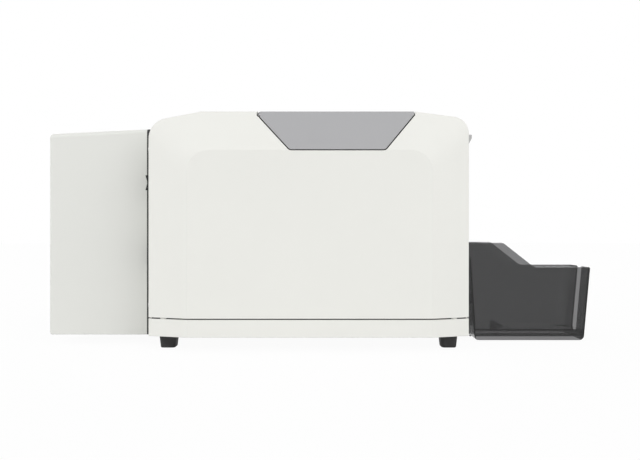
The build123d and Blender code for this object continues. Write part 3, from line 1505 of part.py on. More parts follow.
with BuildPart() as flipper_drum:
    for low_y in (-disc_y - disc_thickness, disc_y):
        with BuildSketch(across(low_y + disc_thickness)):
            with Locations(drum_centre):
                Circle(drum_radius)
                with PolarLocations(27, 4, 45):
                    Circle(9, mode=Mode.SUBTRACT)
        extrude(amount=disc_thickness)
    for guide_z in (path_z - 2.4, path_z + card_thickness + 0.9):
        with BuildSketch(Plane.XY.offset(guide_z)):
            with Locations((drum_centre[0] - 24, 0), (drum_centre[0] + 24, 0)):
                Rectangle(30, 2 * disc_y)
        extrude(amount=1.5)
    turned(drum_centre, [(drum_gear_y - 3.5, -disc_y, journal_radius)])
    turned(drum_centre, [(disc_y, frame_y + plate_thickness + 2, journal_radius)])
flipper_drum.part.label = "flipper_drum"
export_step(flipper_drum.part, "parts/flipper_drum.step")

nip_radius = 6.0
with BuildPart() as drum_nip_rollers:
    for centre in (
        (drum_centre[0], path_z - 0.1 - nip_radius),
        (drum_centre[0], path_z + card_thickness + 0.1 + nip_radius),
    ):
        turned(centre, [(-disc_y, disc_y, 2.5), (-22, -6, nip_radius), (6, 22, nip_radius)])
drum_nip_rollers.part.label = "drum_nip_rollers"
export_step(drum_nip_rollers.part, "parts/drum_nip_rollers.step")

with BuildPart() as drum_gear:
    with BuildSketch(across(drum_gear_y)):
        with BuildLine():
            Polyline(*gear_outline(drum_teeth, drum_centre, 0), close=True)
        make_face()
        with Locations(drum_centre):
            Circle(journal_radius, mode=Mode.SUBTRACT)
            with PolarLocations(14, 5):
                Circle(5, mode=Mode.SUBTRACT)
    extrude(amount=3)
drum_gear.part.label = "drum_gear"
export_step(drum_gear.part, "parts/drum_gear.step")

with BuildPart() as flipper_motor:
    turned(drum_pinion_centre, [(-frame_y, -disc_y - disc_thickness - 2, 13)])
    turned(drum_pinion_centre, [(-frame_y - plate_thickness, -frame_y, 3.9)])
    turned(drum_pinion_centre, [(drum_gear_y - 3.5, -frame_y - plate_thickness, 2.5)])
flipper_motor.part.label = "flipper_motor"
export_step(flipper_motor.part, "parts/flipper_motor.step")

with BuildPart() as flipper_pinion:
    with BuildSketch(across(drum_gear_y)):
        with BuildLine():
            Polyline(*gear_outline(pinion_teeth, drum_pinion_centre, drum_pinion_phase), close=True)
        make_face()
        with Locations(drum_pinion_centre):
            Circle(stud_bore, mode=Mode.SUBTRACT)
    extrude(amount=3)
flipper_pinion.part.label = "flipper_pinion"
export_step(flipper_pinion.part, "parts/flipper_pinion.step")
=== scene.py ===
# %% [markdown]
# # An ID card printer, dressed around its CAD frame
# The frame holds every rigid piece at its true size. This notebook gives each surface its finish,
# adds the small pieces that a maker would expect, and sets the camera and light of the photograph.

# %% Load the frame
import json
import math

import bmesh
import bpy
from mathutils import Matrix, Vector


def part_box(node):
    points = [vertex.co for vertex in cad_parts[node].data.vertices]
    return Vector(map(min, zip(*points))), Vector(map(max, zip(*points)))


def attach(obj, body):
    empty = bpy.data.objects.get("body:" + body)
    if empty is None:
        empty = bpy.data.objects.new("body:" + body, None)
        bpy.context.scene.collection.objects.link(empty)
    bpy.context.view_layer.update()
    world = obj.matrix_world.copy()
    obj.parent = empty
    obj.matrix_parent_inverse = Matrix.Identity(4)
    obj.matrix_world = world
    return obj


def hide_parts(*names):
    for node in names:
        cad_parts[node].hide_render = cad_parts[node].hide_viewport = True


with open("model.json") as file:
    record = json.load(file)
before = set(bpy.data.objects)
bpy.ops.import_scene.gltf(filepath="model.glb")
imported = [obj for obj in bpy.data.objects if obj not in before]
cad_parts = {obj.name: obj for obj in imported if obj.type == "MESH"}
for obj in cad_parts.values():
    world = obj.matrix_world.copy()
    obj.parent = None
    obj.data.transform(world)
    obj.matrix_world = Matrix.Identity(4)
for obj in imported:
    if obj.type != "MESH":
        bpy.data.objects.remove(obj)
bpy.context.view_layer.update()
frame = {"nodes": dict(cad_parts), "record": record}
nodes = frame["nodes"]
MM = 0.001
print("loaded", len(nodes), "nodes")

# %% [markdown]
# ## Camera
# The photograph looks straight at the left side of the printer from nearly a metre away, level
# with the middle of the body. Its vanishing point is the middle of the picture, so the camera
# stands square to the side and nothing is shifted.

# %% Camera
FOCAL_PIXELS = 653.06
PHOTO_WIDTH_PIXELS = 640
SENSOR_MM = 36.0
CAMERA_PLACE = Vector((-4.95, -848.5, 138.5)) * MM

scene = bpy.context.scene
camera_data = bpy.data.cameras.new("camera")
camera_data.sensor_width = SENSOR_MM
camera_data.lens = FOCAL_PIXELS / PHOTO_WIDTH_PIXELS * SENSOR_MM
camera = bpy.data.objects.new("camera", camera_data)
camera.location = CAMERA_PLACE
camera.rotation_euler = (math.radians(90), 0, 0)
scene.collection.objects.link(camera)
scene.camera = camera
scene.view_settings.view_transform = "Standard"
print("lens", round(camera_data.lens, 2), "mm")

# %% [markdown]
# ## Surround
# The printer was photographed in a white tent, where light comes evenly from all sides. The world
# is plain white to the camera, to mirrors and through clear plastic. For the light that it sheds
# on the printer it is set a little lower, so that the pale housing doesn't burn out.

# %% Surround
SURROUND_LIGHT = 0.34


def bare_tree(owner):
    """The empty node tree of a world or a material."""
    owner.use_nodes = True
    owner.node_tree.nodes.clear()
    return owner.node_tree


def seen_mask(tree):
    """1 for rays from the camera, a mirror or through clear plastic, and 0 for light itself."""
    path = tree.nodes.new("ShaderNodeLightPath")
    mask = path.outputs["Is Camera Ray"]
    for ray in ("Is Glossy Ray", "Is Transmission Ray"):
        either = tree.nodes.new("ShaderNodeMath")
        either.operation = "MAXIMUM"
        tree.links.new(mask, either.inputs[0])
        tree.links.new(path.outputs[ray], either.inputs[1])
        mask = either.outputs[0]
    return mask


world = bpy.data.worlds.new("white_tent")
scene.world = world
tree = bare_tree(world)
strength = tree.nodes.new("ShaderNodeMix")
strength.inputs["A"].default_value = SURROUND_LIGHT
strength.inputs["B"].default_value = 1.0
background = tree.nodes.new("ShaderNodeBackground")
world_output = tree.nodes.new("ShaderNodeOutputWorld")
tree.links.new(seen_mask(tree), strength.inputs["Factor"])
tree.links.new(strength.outputs["Result"], background.inputs["Strength"])
tree.links.new(background.outputs["Background"], world_output.inputs["Surface"])
background.inputs["Color"].default_value = (1, 1, 1, 1)

# %% [markdown]
# ## Lamps
# The crown is brighter than the sides, and both slanted ends are a little darker than the flat
# side, so the tent had wide, soft lamps high at both front corners. A weaker, lower pair behind
# lights the back for the other views. Sun lamps with a large angle give the same soft light
# wherever the camera stands.

# %% Lamps
LAMP_SOFTNESS_DEGREES = 60
FRONT_PAIR = {"strength": 1.22, "height": 33, "side": 50}
BACK_PAIR = {"strength": 0.85, "height": 14, "side": 140}


def add_lamp(name, strength, height, turn):
    """A soft sun lamp, some degrees above the floor and turned from the photographed side."""
    lamp_data = bpy.data.lights.new(name, "SUN")
    lamp_data.energy = strength
    lamp_data.angle = math.radians(LAMP_SOFTNESS_DEGREES)
    lamp = bpy.data.objects.new(name, lamp_data)
    lamp.rotation_euler = (math.radians(90 - height), 0, math.radians(turn))
    scene.collection.objects.link(lamp)


for pair_name, pair in (("near", FRONT_PAIR), ("far", BACK_PAIR)):
    for side in (-1, 1):
        add_lamp(pair_name + "_lamp", pair["strength"], pair["height"], side * pair["side"])

# %% [markdown]
# ## Floor
# The floor of the tent is white as well. Most of its white is its own glow, seen by the camera
# only, and the rest is a matt surface that keeps the soft shadow under the printer.

# %% Floor
FLOOR_SIZE = 12.0
FLOOR_GLOW_SHARE = 0.95
FLOOR_WHITE = (0.9, 0.9, 0.9, 1)

bpy.ops.object.select_all(action="DESELECT")
bpy.ops.mesh.primitive_plane_add(size=FLOOR_SIZE)
floor = bpy.context.active_object
floor.name = "floor"
floor_paint = bpy.data.materials.new("tent_floor")
tree = bare_tree(floor_paint)
matt = tree.nodes.new("ShaderNodeBsdfDiffuse")
matt.inputs["Color"].default_value = FLOOR_WHITE
glow = tree.nodes.new("ShaderNodeEmission")
glow_share = tree.nodes.new("ShaderNodeMath")
glow_share.operation = "MULTIPLY"
glow_share.inputs[1].default_value = FLOOR_GLOW_SHARE
blend = tree.nodes.new("ShaderNodeMixShader")
floor_output = tree.nodes.new("ShaderNodeOutputMaterial")
tree.links.new(seen_mask(tree), glow_share.inputs[0])
tree.links.new(glow_share.outputs[0], blend.inputs["Fac"])
tree.links.new(matt.outputs["BSDF"], blend.inputs[1])
tree.links.new(glow.outputs["Emission"], blend.inputs[2])
tree.links.new(blend.outputs["Shader"], floor_output.inputs["Surface"])
floor.data.materials.append(floor_paint)

# %% [markdown]
# ## Surface effects
# Many finishes share the same few effects, so each effect is a node group, built once. A group
# has named inputs and outputs, and gives only values that change over the surface: a height for
# the bump, and a mask from 0 to 1 for mixing two colours or two roughnesses.

# %% Surface effects: how a group is begun
def begin_group(name, inputs):
    """A node group with the given float inputs, a Place vector, and Height and Mask outputs."""
    group = bpy.data.node_groups.new(name, "ShaderNodeTree")
    group.interface.new_socket("Place", in_out="INPUT", socket_type="NodeSocketVector")
    for label, value in inputs.items():
        socket = group.interface.new_socket(label, in_out="INPUT", socket_type="NodeSocketFloat")
        socket.default_value = value
    for label in ("Height", "Mask"):
        group.interface.new_socket(label, in_out="OUTPUT", socket_type="NodeSocketFloat")
    entry = group.nodes.new("NodeGroupInput")
    leave = group.nodes.new("NodeGroupOutput")
    return group, entry, leave


def noise(group, place, scale, detail=2.0, roughness=0.5):
    """A noise texture whose scale is a number or the socket of one."""
    node = group.nodes.new("ShaderNodeTexNoise")
    node.inputs["Detail"].default_value = detail
    node.inputs["Roughness"].default_value = roughness
    group.links.new(place, node.inputs["Vector"])
    if isinstance(scale, (int, float)):
        node.inputs["Scale"].default_value = scale
    else:
        group.links.new(scale, node.inputs["Scale"])
    return node.outputs["Fac"]


def window(group, value, low, high):
    """Spreads the part of a value between low and high over 0 to 1."""
    node = group.nodes.new("ShaderNodeMapRange")
    node.inputs["From Min"].default_value = low
    node.inputs["From Max"].default_value = high
    group.links.new(value, node.inputs["Value"])
    return node.outputs["Result"]


# %% [markdown]
# A mould for an office machine is spark eroded, which leaves an even, very fine grain on the
# plastic. Fine noise for the height is near to that, and a slow noise stands for the faint
# cloudiness that a large moulding always has.

# %% Surface effects: moulded grain
grain_inputs = {"Grains per metre": 1600.0, "Clouds per metre": 9.0}
grain_group, entry, leave = begin_group("moulded_grain", grain_inputs)
fine = noise(grain_group, entry.outputs["Place"], entry.outputs["Grains per metre"], 3.0, 0.6)
cloud = noise(grain_group, entry.outputs["Place"], entry.outputs["Clouds per metre"], 3.0, 0.55)
grain_group.links.new(fine, leave.inputs["Height"])
grain_group.links.new(window(grain_group, cloud, 0.3, 0.7), leave.inputs["Mask"])

# %% [markdown]
# Rolled sheet and ground shafts carry fine lines in one direction. Noise whose place is squeezed
# along two axes and stretched along the third draws such lines, so the group asks for a stretch
# along each axis.

# %% Surface effects: tool lines
lines_inputs = {"Along X": 1.0, "Along Y": 1.0, "Along Z": 1.0}
lines_group, entry, leave = begin_group("tool_lines", lines_inputs)
squeeze = lines_group.nodes.new("ShaderNodeCombineXYZ")
product = lines_group.nodes.new("ShaderNodeVectorMath")
product.operation = "MULTIPLY"
for axis in "XYZ":
    lines_group.links.new(entry.outputs["Along " + axis], squeeze.inputs[axis])
lines_group.links.new(entry.outputs["Place"], product.inputs[0])
lines_group.links.new(squeeze.outputs["Vector"], product.inputs[1])
scratch = noise(lines_group, product.outputs["Vector"], 1.0, 4.0, 0.65)
lines_group.links.new(scratch, leave.inputs["Height"])
lines_group.links.new(window(lines_group, scratch, 0.35, 0.65), leave.inputs["Mask"])

# %% [markdown]
# ## Finishes
# Every finish is one Principled shader. Its constants are set on the shader's own sockets, and
# the groups only vary colour, roughness and bump a little around them. A Bevel node rounds the
# look of sharp CAD edges by a fraction of a millimetre, which is where mouldings catch the light.

# %% Finishes: the shared start
paints = {}


def begin_finish(name, colour, roughness, edge_mm, metallic=0.0):
    """A Principled material on object coordinates, with softened edges under its bump."""
    paint = bpy.data.materials.new(name)
    tree = bare_tree(paint)
    shader = tree.nodes.new("ShaderNodeBsdfPrincipled")
    shader.inputs["Base Color"].default_value = (*colour, 1)
    shader.inputs["Roughness"].default_value = roughness
    shader.inputs["Metallic"].default_value = metallic
    place = tree.nodes.new("ShaderNodeTexCoord").outputs["Object"]
    edge = tree.nodes.new("ShaderNodeBevel")
    edge.samples = 4
    edge.inputs["Radius"].default_value = edge_mm * MM
    bump = tree.nodes.new("ShaderNodeBump")
    end = tree.nodes.new("ShaderNodeOutputMaterial")
    tree.links.new(edge.outputs["Normal"], bump.inputs["Normal"])
    tree.links.new(bump.outputs["Normal"], shader.inputs["Normal"])
    tree.links.new(shader.outputs["BSDF"], end.inputs["Surface"])
    paints[name] = paint
    return tree, shader, place, bump


def use_group(tree, group, place, **values):
    """Places an effect in a material with its own values."""
    node = tree.nodes.new("ShaderNodeGroup")
    node.node_tree = group
    tree.links.new(place, node.inputs["Place"])
    for label, value in values.items():
        node.inputs[label.replace("_", " ")].default_value = value
    return node


def vary_colour(tree, shader, mask, first, second):
    """Mixes two near colours by a mask into Base Color."""
    mix = tree.nodes.new("ShaderNodeMix")
    mix.data_type = "RGBA"
    mix.inputs["A"].default_value = (*first, 1)
    mix.inputs["B"].default_value = (*second, 1)
    tree.links.new(mask, mix.inputs["Factor"])
    tree.links.new(mix.outputs["Result"], shader.inputs["Base Color"])


def vary_roughness(tree, shader, mask, low, high):
    """Spreads a mask between two roughnesses."""
    spread = tree.nodes.new("ShaderNodeMapRange")
    spread.inputs["To Min"].default_value = low
    spread.inputs["To Max"].default_value = high
    tree.links.new(mask, spread.inputs["Value"])
    tree.links.new(spread.outputs["Result"], shader.inputs["Roughness"])


def set_relief(tree, bump, height, depth_mm, strength=0.6):
    """Gives the bump its height and the real depth of the relief."""
    bump.inputs["Distance"].default_value = depth_mm * MM
    bump.inputs["Strength"].default_value = strength
    tree.links.new(height, bump.inputs["Height"])


def shade(colour, factor):
    """The same colour, darker or lighter."""
    return tuple(min(1.0, part * factor) for part in colour)


# %% [markdown]
# ### Moulded plastics
# The housing is a warm white ABS, the lid is a mid grey one, and the inner parts are darker. They
# differ only in colour, gloss and the pitch and depth of the grain, so one function makes them
# all. Small inner mouldings have sharper edges and a smoother skin than the housing.

# %% Finishes: moulded plastics
def moulded(name, colour, roughness, depth_mm=0.02, grains=1600.0, edge_mm=0.5, clouds=0.985):
    tree, shader, place, bump = begin_finish(name, colour, roughness, edge_mm)
    grain = use_group(tree, grain_group, place, Grains_per_metre=grains)
    vary_colour(tree, shader, grain.outputs["Mask"], colour, shade(colour, clouds))
    vary_roughness(tree, shader, grain.outputs["Mask"], roughness - 0.04, roughness + 0.04)
    set_relief(tree, bump, grain.outputs["Height"], depth_mm)


WARM_WHITE = (0.83, 0.83, 0.79)
moulded("white_shell", WARM_WHITE, 0.48, edge_mm=0.9)
moulded("module_shell", (0.765, 0.77, 0.735), 0.42, depth_mm=0.012, edge_mm=0.9)
moulded("grey_cover", (0.40, 0.40, 0.41), 0.50, edge_mm=0.7)
moulded("light_grey_trim", (0.52, 0.52, 0.52), 0.45)
moulded("black_plastic", (0.022, 0.022, 0.023), 0.42, clouds=0.9, edge_mm=0.3)
moulded("rocker_plastic", (0.016, 0.016, 0.017), 0.22, depth_mm=0.004, clouds=0.95)
moulded("key_plastic", (0.27, 0.28, 0.29), 0.55, depth_mm=0.01)
moulded("gear_plastic", (0.76, 0.75, 0.69), 0.38, depth_mm=0.006, edge_mm=0.15, clouds=0.96)
moulded("bush_plastic", (0.11, 0.11, 0.11), 0.5, depth_mm=0.008, edge_mm=0.2)
moulded("cartridge_plastic", (0.52, 0.53, 0.55), 0.45, edge_mm=0.4)
moulded("cassette_plastic", (0.09, 0.09, 0.10), 0.5, edge_mm=0.4, clouds=0.93)
moulded("card_white", (0.84, 0.84, 0.83), 0.25, depth_mm=0.002, edge_mm=0.1)
print("moulded finishes", sorted(paints))

# %% [markdown]
# ### Metals
# The side plates are zinc plated sheet with a faint grain from rolling, and the shafts are ground,
# which leaves rings round them. The motors are painted black over steel.

# %% Finishes: metals
def metal(
    name, colour, roughness, stretch, spread=0.08, depth_mm=0.004, metallic=1.0, edge_mm=0.2
):
    tree, shader, place, bump = begin_finish(name, colour, roughness, edge_mm, metallic)
    along_x, along_y, along_z = stretch
    lines = use_group(
        tree, lines_group, place, Along_X=along_x, Along_Y=along_y, Along_Z=along_z
    )
    vary_colour(tree, shader, lines.outputs["Mask"], colour, shade(colour, 0.9))
    vary_roughness(tree, shader, lines.outputs["Mask"], roughness - spread, roughness + spread)
    set_relief(tree, bump, lines.outputs["Height"], depth_mm)


metal("zinc_steel", (0.60, 0.61, 0.63), 0.34, (40.0, 900.0, 1400.0))
metal("shaft_steel", (0.66, 0.66, 0.67), 0.22, (30.0, 2600.0, 30.0))
metal("motor_metal", (0.045, 0.045, 0.047), 0.38, (500.0, 500.0, 500.0), metallic=0.0, edge_mm=0.4)

# %% [markdown]
# ### Rubbers
# Rubber is matt, nearly black and finely pitted. The cleaning roller is a tacky blue rubber.

# %% Finishes: rubbers
def rubber(name, colour, roughness, depth_mm=0.03, grains=2400.0):
    tree, shader, place, bump = begin_finish(name, colour, roughness, 0.5)
    grain = use_group(tree, grain_group, place, Grains_per_metre=grains, Clouds_per_metre=60.0)
    vary_colour(tree, shader, grain.outputs["Mask"], colour, shade(colour, 0.8))
    vary_roughness(tree, shader, grain.outputs["Mask"], roughness - 0.08, roughness + 0.06)
    set_relief(tree, bump, grain.outputs["Height"], depth_mm)


rubber("foot_rubber", (0.028, 0.028, 0.028), 0.72)
rubber("roller_rubber", (0.045, 0.045, 0.05), 0.62)
rubber("cleaning_rubber", (0.09, 0.26, 0.52), 0.45, depth_mm=0.008)
rubber("belt_rubber", (0.02, 0.02, 0.02), 0.7)

# %% [markdown]
# ### Clear plastics
# The hopper is smoked polycarbonate. Its smoke is in the plastic and not on it, so the shader is
# clear and a Volume Absorption takes away light along the way through. One wall of 2 mm lets a
# fifth through and two walls a twenty-fifth, while an edge that is seen end on is almost black,
# as in the photograph. The density is worked out from the share that one wall lets through.

# %% Finishes: clear plastics
def clear(name, colour, wall_mm, wall_share, roughness=0.02, ior=1.49):
    """Clear plastic whose absorption is set by what a wall of a given thickness lets through."""
    tree, shader, place, bump = begin_finish(name, (1, 1, 1), roughness, 0.3)
    shader.inputs["Transmission Weight"].default_value = 1.0
    shader.inputs["IOR"].default_value = ior
    shader.inputs["Specular IOR Level"].default_value = 0.3
    grain = use_group(tree, grain_group, place, Grains_per_metre=60.0, Clouds_per_metre=20.0)
    vary_roughness(tree, shader, grain.outputs["Mask"], roughness, roughness + 0.02)
    set_relief(tree, bump, grain.outputs["Height"], 0.01, 0.1)
    smoke = tree.nodes.new("ShaderNodeVolumeAbsorption")
    smoke.inputs["Color"].default_value = (*colour, 1)
    smoke.inputs["Density"].default_value = -math.log(wall_share) / (wall_mm * MM)
    end = next(node for node in tree.nodes if node.type == "OUTPUT_MATERIAL")
    tree.links.new(smoke.outputs["Volume"], end.inputs["Volume"])


clear("smoked_plastic", (0.0, 0.0, 0.01), 2.0, 0.195)
clear("display_glass", (0.02, 0.08, 0.10), 1.5, 0.30)
clear("lamp_lens", (0.10, 0.75, 0.25), 3.0, 0.30, roughness=0.12)

# %% [markdown]
# ### Circuit board, ribbon and ceramic
# The circuit board shows its copper through the green lacquer, which the cells of a Voronoi
# pattern suggest. The dye ribbon is a thin glossy film, and the print head is fired ceramic.

# %% Finishes: circuit board
tree, shader, place, bump = begin_finish("board_green", (0.015, 0.15, 0.06), 0.32, 0.1)
tracks = tree.nodes.new("ShaderNodeTexVoronoi")
tracks.distance = "CHEBYCHEV"
tracks.feature = "DISTANCE_TO_EDGE"
tracks.inputs["Scale"].default_value = 320.0
tree.links.new(place, tracks.inputs["Vector"])
copper = window(tree, tracks.outputs["Distance"], 0.04, 0.10)
vary_colour(tree, shader, copper, (0.03, 0.24, 0.09), (0.012, 0.13, 0.05))
set_relief(tree, bump, copper, 0.03, 0.4)

# %% Finishes: ribbon and ceramic
tree, shader, place, bump = begin_finish("ribbon_film", (0.05, 0.04, 0.07), 0.16, 0.1)
lines = use_group(tree, lines_group, place, Along_X=60.0, Along_Y=1500.0, Along_Z=60.0)
vary_colour(tree, shader, lines.outputs["Mask"], (0.05, 0.04, 0.07), (0.035, 0.03, 0.05))
set_relief(tree, bump, lines.outputs["Height"], 0.004)

tree, shader, place, bump = begin_finish("ceramic_head", (0.62, 0.58, 0.50), 0.3, 0.2)
grain = use_group(tree, grain_group, place, Grains_per_metre=3000.0, Clouds_per_metre=90.0)
vary_colour(tree, shader, grain.outputs["Mask"], (0.62, 0.58, 0.50), (0.55, 0.51, 0.44))
set_relief(tree, bump, grain.outputs["Height"], 0.006)
print("finishes", len(paints))

# %% [markdown]
# ## Dress the frame
# The record says which finish each piece of the frame takes. A node keeps its mesh: only the
# material in its slots changes.

# %% Dress the frame
slot_of = {part["node"]: part["material_slot"] for part in frame["record"]["subparts"]}
for name, piece in nodes.items():
    piece.data.materials.clear()
    piece.data.materials.append(paints[slot_of[name]])
print("dressed", len(slot_of), "nodes")

# %% [markdown]
# ## Small pieces
# The frame leaves out seals, screws, chips and single cards. They are made as by hand: a primitive
# is added with nothing else selected, its place is put into its mesh, and its faces or edges are
# then picked in edit mode by where they are. Copies get a mesh of their own.

# %% Small pieces: starting and picking
def select_only(*pieces):
    """Leaves edit mode and selects just these pieces, the first one active."""
    if bpy.context.object and bpy.context.object.mode != "OBJECT":
        bpy.ops.object.mode_set(mode="OBJECT")
    bpy.ops.object.select_all(action="DESELECT")
    for piece in pieces:
        piece.select_set(True)
    bpy.context.view_layer.objects.active = pieces[0]


def start_piece(name, add, **options):
    """Adds one primitive and puts its place, turn and size into its mesh."""
    select_only(floor)
    bpy.ops.object.select_all(action="DESELECT")
    add(**options)
    piece = bpy.context.active_object
    piece.name = name
    bpy.ops.object.transform_apply(location=True, rotation=True, scale=True)
    return piece


def start_block(name, low, high):
    """A cube primitive between two corners in millimetres."""
    low, high = Vector(low) * MM, Vector(high) * MM
    return start_piece(
        name, bpy.ops.mesh.primitive_cube_add, size=1, location=(low + high) / 2, scale=high - low
    )


def pick(piece, kind, test):
    """Goes into edit mode and selects the faces, edges or verts that pass a test."""
    select_only(piece)
    bpy.ops.object.mode_set(mode="EDIT")
    bpy.ops.mesh.select_mode(type={"faces": "FACE", "edges": "EDGE", "verts": "VERT"}[kind])
    bpy.ops.mesh.select_all(action="DESELECT")
    shape = bmesh.from_edit_mesh(piece.data)
    for part in getattr(shape, kind):
        part.select_set(bool(test(part)))
    shape.select_flush_mode()
    bmesh.update_edit_mesh(piece.data)


def apply_modifier(piece, kind, **values):
    """Adds a modifier with its values and applies it."""
    select_only(piece)
    modifier = piece.modifiers.new("step", kind)
    for label, value in values.items():
        setattr(modifier, label, value)
    bpy.ops.object.modifier_apply(modifier=modifier.name)


def soften(piece, width_mm, segments=3):
    """Rounds all sharp edges of a piece a little."""
    apply_modifier(piece, "BEVEL", width=width_mm * MM, segments=segments, limit_method="ANGLE")


def cut_away(piece, cutter):
    """Takes one shape out of another and removes the cutter."""
    apply_modifier(piece, "BOOLEAN", operation="DIFFERENCE", object=cutter, solver="EXACT")
    bpy.data.objects.remove(cutter, do_unlink=True)


def join(name, *pieces):
    """Joins pieces into the first one."""
    select_only(*pieces)
    if len(pieces) > 1:
        bpy.ops.object.join()
    pieces[0].name = name
    return pieces[0]


def stamp(name, pattern, places, facing=(0, 0, 1)):
    """Copies a pattern that faces up to each place, each with its own mesh, and joins them."""
    turn = Vector(facing).to_track_quat("Z", "Y").to_matrix().to_4x4()
    made = []
    for place in places:
        copy = pattern.copy()
        copy.data = pattern.data.copy()
        scene.collection.objects.link(copy)
        copy.data.transform(Matrix.Translation(Vector(place) * MM) @ turn)
        made.append(copy)
    bpy.data.objects.remove(pattern, do_unlink=True)
    return join(name, *made)


def hand_over(piece, slot, body="printer"):
    """Smooths a finished piece, gives it its finish and the body that it rides on."""
    select_only(piece)
    bpy.ops.object.shade_smooth_by_angle(angle=math.radians(35))
    piece.data.materials.clear()
    piece.data.materials.append(paints[slot])
    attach(piece, body)
    print(piece.name, len(piece.data.polygons), "faces")


# %% [markdown]
# ### Seals behind the gaps, with painted shade
# Through the gap at the front of the lid and through the seam of the base the eye meets black
# foam, not the works inside: the black of these seals is painted shade, which makes the gap lines
# dark. The lid closes on a straight strip under the crown, which is a block with softened edges.

# %% Seals: under the front edge of the lid
SEAL_EDGE = 0.3
LID_SEAL_LOW = (99.6, -97.0, 269.4)
LID_SEAL_HIGH = (107.5, 97.0, 270.9)
# The black strip is painted shade for the gap at the front of the lid.
lid_seal_shade = start_block("lid_seal_shade", LID_SEAL_LOW, LID_SEAL_HIGH)
soften(lid_seal_shade, SEAL_EDGE, 2)
hand_over(lid_seal_shade, "foot_rubber")

# %% [markdown]
# Each flap of the lid rests on a rubber stop inside the housing, at its lower front corner, and
# the black of the stop is painted shade that closes the view through the gap beside the flap. The
# stop is a block whose top is extruded up behind the flap, with its outer side leaned in so that
# it stays half a millimetre clear of the slanted wall. The far stop is the near one mirrored,
# with its normals made right again.

# %% Seals: stops under the lid
STOP_LOW = (66.0, -109.3, 218.0)
STOP_HIGH = (84.0, -100.0, 227.0)
STOP_RISE = 16.0
STOP_LEAN = 4.5
STOP_EDGE = 0.6
near_stop = start_block("near_stop", STOP_LOW, STOP_HIGH)
pick(near_stop, "faces", lambda face: face.normal.z > 0.9)
bpy.ops.mesh.extrude_region_move(TRANSFORM_OT_translate={"value": (0, 0, STOP_RISE * MM)})
pick(near_stop, "verts", lambda vert: vert.co.z > 240 * MM and vert.co.y < -105 * MM)
bpy.ops.transform.translate(value=(0, STOP_LEAN * MM, 0))
soften(near_stop, STOP_EDGE)
far_stop = near_stop.copy()
far_stop.data = near_stop.data.copy()
scene.collection.objects.link(far_stop)
far_stop.data.transform(Matrix.Scale(-1, 4, (0, 1, 0)))
pick(far_stop, "faces", lambda face: True)
bpy.ops.mesh.normals_make_consistent(inside=False)
# The black stops are painted shade in the gaps beside the flaps of the lid.
hand_over(join("lid_stops_shade", near_stop, far_stop), "foot_rubber")

# %% [markdown]
# The seal of the base follows the outline of the pan inside its wall, and its black is painted
# shade that makes the seam a dark line. A circle of eight corners is moved onto the outline, inset
# by the wall, inset again to a narrow band and thickened. The order of the corners depends on
# which way the face looks, so that is asked first.

# %% Seals: in the seam of the base
SEAM_OUTLINE = (
    (-201.6, -99.5), (-154.95, -112.5), (122.05, -112.5), (165.7, -99.5),
    (165.7, 99.5), (122.05, 112.5), (-154.95, 112.5), (-201.6, 99.5),
)
SEAM_MIDDLE = 37.7
SEAM_WALL = 3.02
SEAM_SEAL_WIDTH = 1.6
SEAM_SEAL_HEIGHT = 3.6
# The black band is painted shade in the seam of the base.
seam_seal_shade = start_piece(
    "seam_seal_shade", bpy.ops.mesh.primitive_circle_add, vertices=8, radius=0.1, fill_type="NGON"
)
pick(seam_seal_shade, "faces", lambda face: True)
shape = bmesh.from_edit_mesh(seam_seal_shade.data)
shape.faces.ensure_lookup_table()
turn_way = 1 if shape.faces[0].normal.z > 0 else -1
for vert, (x, y) in zip(shape.faces[0].verts, SEAM_OUTLINE[::turn_way]):
    vert.co = Vector((x, y, SEAM_MIDDLE)) * MM
bmesh.update_edit_mesh(seam_seal_shade.data)
bpy.ops.mesh.inset(thickness=SEAM_WALL * MM)
bpy.ops.mesh.select_all(action="INVERT")
bpy.ops.mesh.delete(type="FACE")
bpy.ops.mesh.select_all(action="SELECT")
bpy.ops.mesh.inset(thickness=SEAM_SEAL_WIDTH * MM)
bpy.ops.mesh.delete(type="FACE")
apply_modifier(seam_seal_shade, "SOLIDIFY", thickness=SEAM_SEAL_HEIGHT * MM, offset=0)
soften(seam_seal_shade, SEAL_EDGE, 2)
hand_over(seam_seal_shade, "foot_rubber")

# %% [markdown]
# The flipper module docks on the body through a black rubber collar that lies in a shallow groove
# round its front end, and the collar's black is painted shade for the gap between module and body.
# It is a block with two long edges rounded as the module's are, opened at both ends and given a
# wall inwards.

# %% Seals: the docking collar
COLLAR_LOW = (-214.1, -58.35, 12.25)
COLLAR_HIGH = (-202.8, 58.35, 261.35)
COLLAR_DROP = 0.55
COLLAR_CORNER = 4.85
COLLAR_WALL = 0.95
# The black collar is painted shade for the gap between the module and the body.
collar = start_block("docking_collar_shade", COLLAR_LOW, COLLAR_HIGH)
pick(collar, "verts", lambda vert: vert.co.x < -208 * MM and vert.co.z > 200 * MM)
bpy.ops.transform.translate(value=(0, 0, -COLLAR_DROP * MM))
pick(
    collar,
    "edges",
    lambda edge: all(vert.co.z > 200 * MM for vert in edge.verts)
    and abs(edge.verts[0].co.y - edge.verts[1].co.y) < 1 * MM,
)
bpy.ops.mesh.bevel(offset=COLLAR_CORNER * MM, segments=6, affect="EDGES")
pick(collar, "faces", lambda face: abs(face.normal.x) > 0.9)
bpy.ops.mesh.delete(type="FACE")
apply_modifier(collar, "SOLIDIFY", thickness=COLLAR_WALL * MM, offset=-1)
hand_over(collar, "foot_rubber")

# %% [markdown]
# ### Screws
# The housing is held by pan head screws at the rear, and the base by flush ones from below. A head
# is a short cylinder whose rim is bevelled to a dome, with a cross cut out by a boolean.

# %% Screws
CROSS_LENGTH = 0.55
CROSS_WIDTH = 0.12
CROSS_FLOOR = 0.4
REAR_X = -201.6
BASE_SCREW_Z = 18.5
MODULE_SCREW_Z = 13.3


